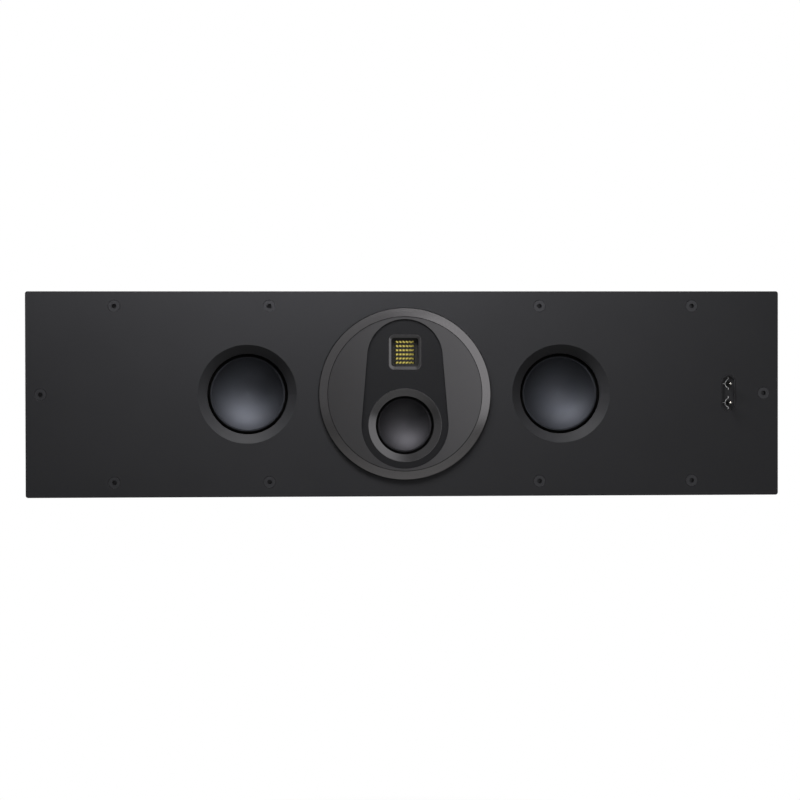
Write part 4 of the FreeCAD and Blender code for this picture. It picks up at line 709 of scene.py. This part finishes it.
class SPEAKER_OT_insides(bpy.types.Operator):
    """Finish the motors, baskets, crossover and leads inside the box."""
    bl_idname = "speaker.insides"
    bl_label = "Insides"

    def execute(self, context):
        woofers = ("left_woofer", "right_woofer")
        # Powder coat is an even satin black.
        coat = plain_finish("powder_coat", linear("#1f1f21"), grain_mm=0.8, roughness=0.6)
        finish_nodes(coat, "mid_basket", *[f"{woofer}_basket" for woofer in woofers])
        # Zinc is a bright cool grey.
        zinc = plain_finish("zinc_plate", linear("#b8b8b4"), grain_mm=0.8, roughness=0.35, metallic=1)
        finish_nodes(zinc, "woofer_screws", "mid_motor_cup", "mid_pole_cap", "tweeter_rear_plate")
        for woofer in woofers:
            finish_nodes(zinc, f"{woofer}_front_plate", f"{woofer}_yoke")
        # Sintered ferrite is a dull dark grey.
        ferrite = plain_finish("sintered_ferrite", linear("#3a3a3b"), grain_mm=0.5, roughness=0.55)
        finish_nodes(ferrite, "mid_magnet", "tweeter_magnets", *[f"{woofer}_magnet" for woofer in woofers])
        # Solder mask is a glossy green, with no tracks drawn on it.
        mask = plain_finish("solder_mask", linear("#1d5a34"), grain_mm=2.0, roughness=0.4)
        finish_nodes(mask, "crossover_board")
        # Natural nylon is a milky white.
        nylon = plain_finish("moulded_nylon", linear("#dedbd2"), grain_mm=1.5, roughness=0.5)
        finish_nodes(nylon, "crossover_pillars")
        # Thick enamel makes the coils a deep glossy copper.
        copper = plain_finish(
            "enamelled_copper", linear("#b0602f"), grain_mm=0.8, roughness=0.3, metallic=0.9)
        finish_nodes(copper, "crossover_coils")
        # Wrapped polyester film is a smooth amber.
        wrap = plain_finish("wrapped_film", linear("#c9a53a"), grain_mm=2.0, roughness=0.35)
        finish_nodes(wrap, "crossover_capacitors")
        # Fired cement is chalky white.
        cement = plain_finish("fired_cement", linear("#dcdad3"), grain_mm=1.0, roughness=0.85)
        finish_nodes(cement, "crossover_resistors")
        # The leads' vinyl is red with a low gloss.
        sleeve = plain_finish("lead_sleeve", linear("#8d1f1b"), grain_mm=1.0, roughness=0.5)
        finish_nodes(sleeve, "driver_leads")
        return {"FINISHED"}


# Softboxes: name, place, target, width and height, watts
SOFTBOXES = (
    # This one hangs close to the baffle and left of its middle, as the photograph's falloff shows.
    ("overhead_softbox", (-0.10, -0.23, 0.45), (-0.05, 0, 0), (0.55, 0.18), 6.3),
    # The large one on the right is weak and shows mostly in the metal.
    ("right_softbox", (1.25, -1.4, 0.36), (0, 0, 0), (3.1, 1.5), 9),
    # Its weaker partner on the left keeps the metal grey from the other side.
    ("left_softbox", (-1.25, -1.4, 0.36), (0, 0, 0), (2.4, 1.5), 1.1),
    # Two stand behind the baffle's plane and light the back box alone.
    ("rear_left_softbox", (-1.3, 1.1, 0.4), (0, 0.05, 0), (0.9, 0.9), 16),
    ("rear_right_softbox", (0.9, 1.5, 0.7), (0, 0.05, 0), (0.9, 0.9), 16),
)

# Width of the camera's sensor in millimetres
SENSOR_WIDTH = 36


def shown_white(tree, behind):
    """How white the studio shows: fully to the camera, and behind the part to gloss and glass too."""
    path = add(tree, "ShaderNodeLightPath").outputs
    shiny = add(tree, "ShaderNodeMath", {0: path["Is Glossy Ray"], 1: path["Is Transmission Ray"]},
                operation="MAXIMUM")
    mirrored = add(tree, "ShaderNodeMath", {0: shiny.outputs[0], 1: behind}, operation="MULTIPLY")
    seen = add(tree, "ShaderNodeMath", {0: path["Is Camera Ray"], 1: mirrored.outputs[0]},
               operation="MAXIMUM")
    return seen.outputs[0]


class SPEAKER_OT_stage(bpy.types.Operator):
    """Set the floor, the world, the lamps and the camera."""
    bl_idname = "speaker.stage"
    bl_label = "Studio"

    def execute(self, context):
        studio = context.scene.speaker_studio
        context.scene.view_settings.view_transform = "Standard"
        self.world(context.scene)
        self.floor(studio.drop)
        for softbox in SOFTBOXES:
            self.lamp(*softbox)
        self.camera(context.scene, studio)
        return {"FINISHED"}

    def world(self, scene):
        """A world that shows white and gives the part dim grey light."""
        dim = 0.12
        # A direction turns from beside the part to behind it between these values of its Y.
        beside, rear = -0.1, 0.4
        world = bpy.data.worlds.new("studio_world")
        scene.world = world
        world.use_nodes = True
        tree = world.node_tree
        sky = add(tree, "ShaderNodeTexCoord").outputs["Generated"]
        direction = add(tree, "ShaderNodeSeparateXYZ", {"Vector": sky})
        behind = add(tree, "ShaderNodeMapRange",
                     {"Value": direction.outputs["Y"], "From Min": beside, "From Max": rear})
        white = shown_white(tree, behind.outputs["Result"])
        level = add(tree, "ShaderNodeMapRange", {"Value": white, "To Min": dim, "To Max": 1})
        background = tree.nodes["Background"]
        background.inputs["Color"].default_value = (1, 1, 1, 1)
        tree.links.new(level.outputs["Result"], background.inputs["Strength"])

    def floor(self, drop):
        """A pale floor that shows white and still takes the part's shadow."""
        half_width = 6
        level = cad_box[0].z - drop
        # The floor turns from beside the part to behind it between these values of Y.
        beside, rear = 0.1, 0.7
        # Within the near distance this share of the floor is plain white and the rest answers the light
        # and shadow. From the far distance on all of it is white.
        near, far, near_white = 0.6, 0.9, 0.5

        def plane(mesh):
            corners = ((-1, -1), (1, -1), (1, 1), (-1, 1))
            mesh.faces.new([mesh.verts.new((x * half_width, y * half_width, level)) for x, y in corners])

        material, tree, shader, place = start_material(
            "pale_floor", {"Roughness": 0.9, "Base Color": rgba(linear("#b4b4b2"))})
        across = add(tree, "ShaderNodeSeparateXYZ", {"Vector": place})
        behind = add(tree, "ShaderNodeMapRange",
                     {"Value": across.outputs["Y"], "From Min": beside, "From Max": rear})
        reach = add(tree, "ShaderNodeVectorMath", {0: place}, operation="LENGTH")
        fade = add(tree, "ShaderNodeMapRange", {"Value": reach.outputs["Value"], "From Min": near,
                                                "From Max": far, "To Min": near_white, "To Max": 1})
        share = add(tree, "ShaderNodeMath",
                    {0: shown_white(tree, behind.outputs["Result"]), 1: fade.outputs["Result"]},
                    operation="MULTIPLY")
        white = add(tree, "ShaderNodeEmission", {"Strength": 1})
        mix = add(tree, "ShaderNodeMixShader", {0: share.outputs[0], 1: shader.outputs["BSDF"],
                                                2: white.outputs["Emission"]})
        tree.links.new(mix.outputs["Shader"], tree.nodes["Material Output"].inputs["Surface"])
        new_piece("studio_floor", plane, material)

    def lamp(self, name, place, target, size, power):
        """A rectangular softbox aimed at a point, unseen by the camera."""
        data = bpy.data.lights.new(name, "AREA")
        data.shape = "RECTANGLE"
        data.size, data.size_y = size
        data.energy = power
        lamp = bpy.data.objects.new(name, data)
        lamp.location = place
        lamp.rotation_mode = "QUATERNION"
        lamp.rotation_quaternion = (Vector(target) - Vector(place)).to_track_quat("-Z", "Y")
        lamp.visible_camera = False
        bpy.context.scene.collection.objects.link(lamp)

    def camera(self, scene, studio):
        """The photograph's camera, aimed a little left of and below the baffle's middle."""
        aim = Vector((-studio.aim_left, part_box("front_baffle")[0].y, -studio.aim_down))
        turn, rise = studio.azimuth, studio.elevation
        back = Vector((math.sin(turn) * math.cos(rise), -math.cos(turn) * math.cos(rise), math.sin(rise)))
        right = Vector((0, 0, 1)).cross(back).normalized()
        axes = Matrix((right, back.cross(right), back)).transposed()
        data = bpy.data.cameras.new("camera")
        data.sensor_width = SENSOR_WIDTH
        data.lens = studio.lens
        camera = bpy.data.objects.new("camera", data)
        camera.matrix_world = (Matrix.Translation(aim + back * studio.distance)
                               @ (axes @ Matrix.Rotation(studio.roll, 3, "Z")).to_4x4())
        scene.collection.objects.link(camera)
        scene.camera = camera


GROUPS = {
    "speaker_finish": SpeakerFinish,
    "speaker_sizes": SpeakerSizes,
    "speaker_studio": SpeakerStudio,
}
OPERATORS = (
    SPEAKER_OT_baffle, SPEAKER_OT_pod, SPEAKER_OT_tweeter, SPEAKER_OT_cones, SPEAKER_OT_surrounds,
    SPEAKER_OT_spiders, SPEAKER_OT_switches, SPEAKER_OT_box, SPEAKER_OT_insides, SPEAKER_OT_stage,
)


class SPEAKER_PT_panel(bpy.types.Panel):
    """Lists the speaker's operators and settings in the sidebar."""
    bl_idname = "SPEAKER_PT_panel"
    bl_label = "In-wall speaker"
    bl_space_type = "VIEW_3D"
    bl_region_type = "UI"
    bl_category = "Speaker"

    def draw(self, context):
        for operator in OPERATORS:
            self.layout.operator(operator.bl_idname)
        for group_name, group in GROUPS.items():
            column = self.layout.column()
            for name in group.__annotations__:
                column.prop(getattr(context.scene, group_name), name)


def register():
    """Register the classes and hang the settings on the scene."""
    for item in (*GROUPS.values(), *OPERATORS, SPEAKER_PT_panel):
        bpy.utils.register_class(item)
    for name, group in GROUPS.items():
        setattr(bpy.types.Scene, name, bpy.props.PointerProperty(type=group))


def unregister():
    """Take the settings off the scene and unregister the classes."""
    for name in GROUPS:
        delattr(bpy.types.Scene, name)
    for item in reversed((*GROUPS.values(), *OPERATORS, SPEAKER_PT_panel)):
        bpy.utils.unregister_class(item)


def main():
    """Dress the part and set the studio."""
    register()
    bpy.ops.speaker.baffle()
    bpy.ops.speaker.pod()
    bpy.ops.speaker.tweeter()
    bpy.ops.speaker.cones()
    bpy.ops.speaker.surrounds()
    bpy.ops.speaker.spiders()
    bpy.ops.speaker.switches()
    bpy.ops.speaker.box()
    bpy.ops.speaker.insides()
    bpy.ops.speaker.stage()


if __name__ == "__main__":
    main()
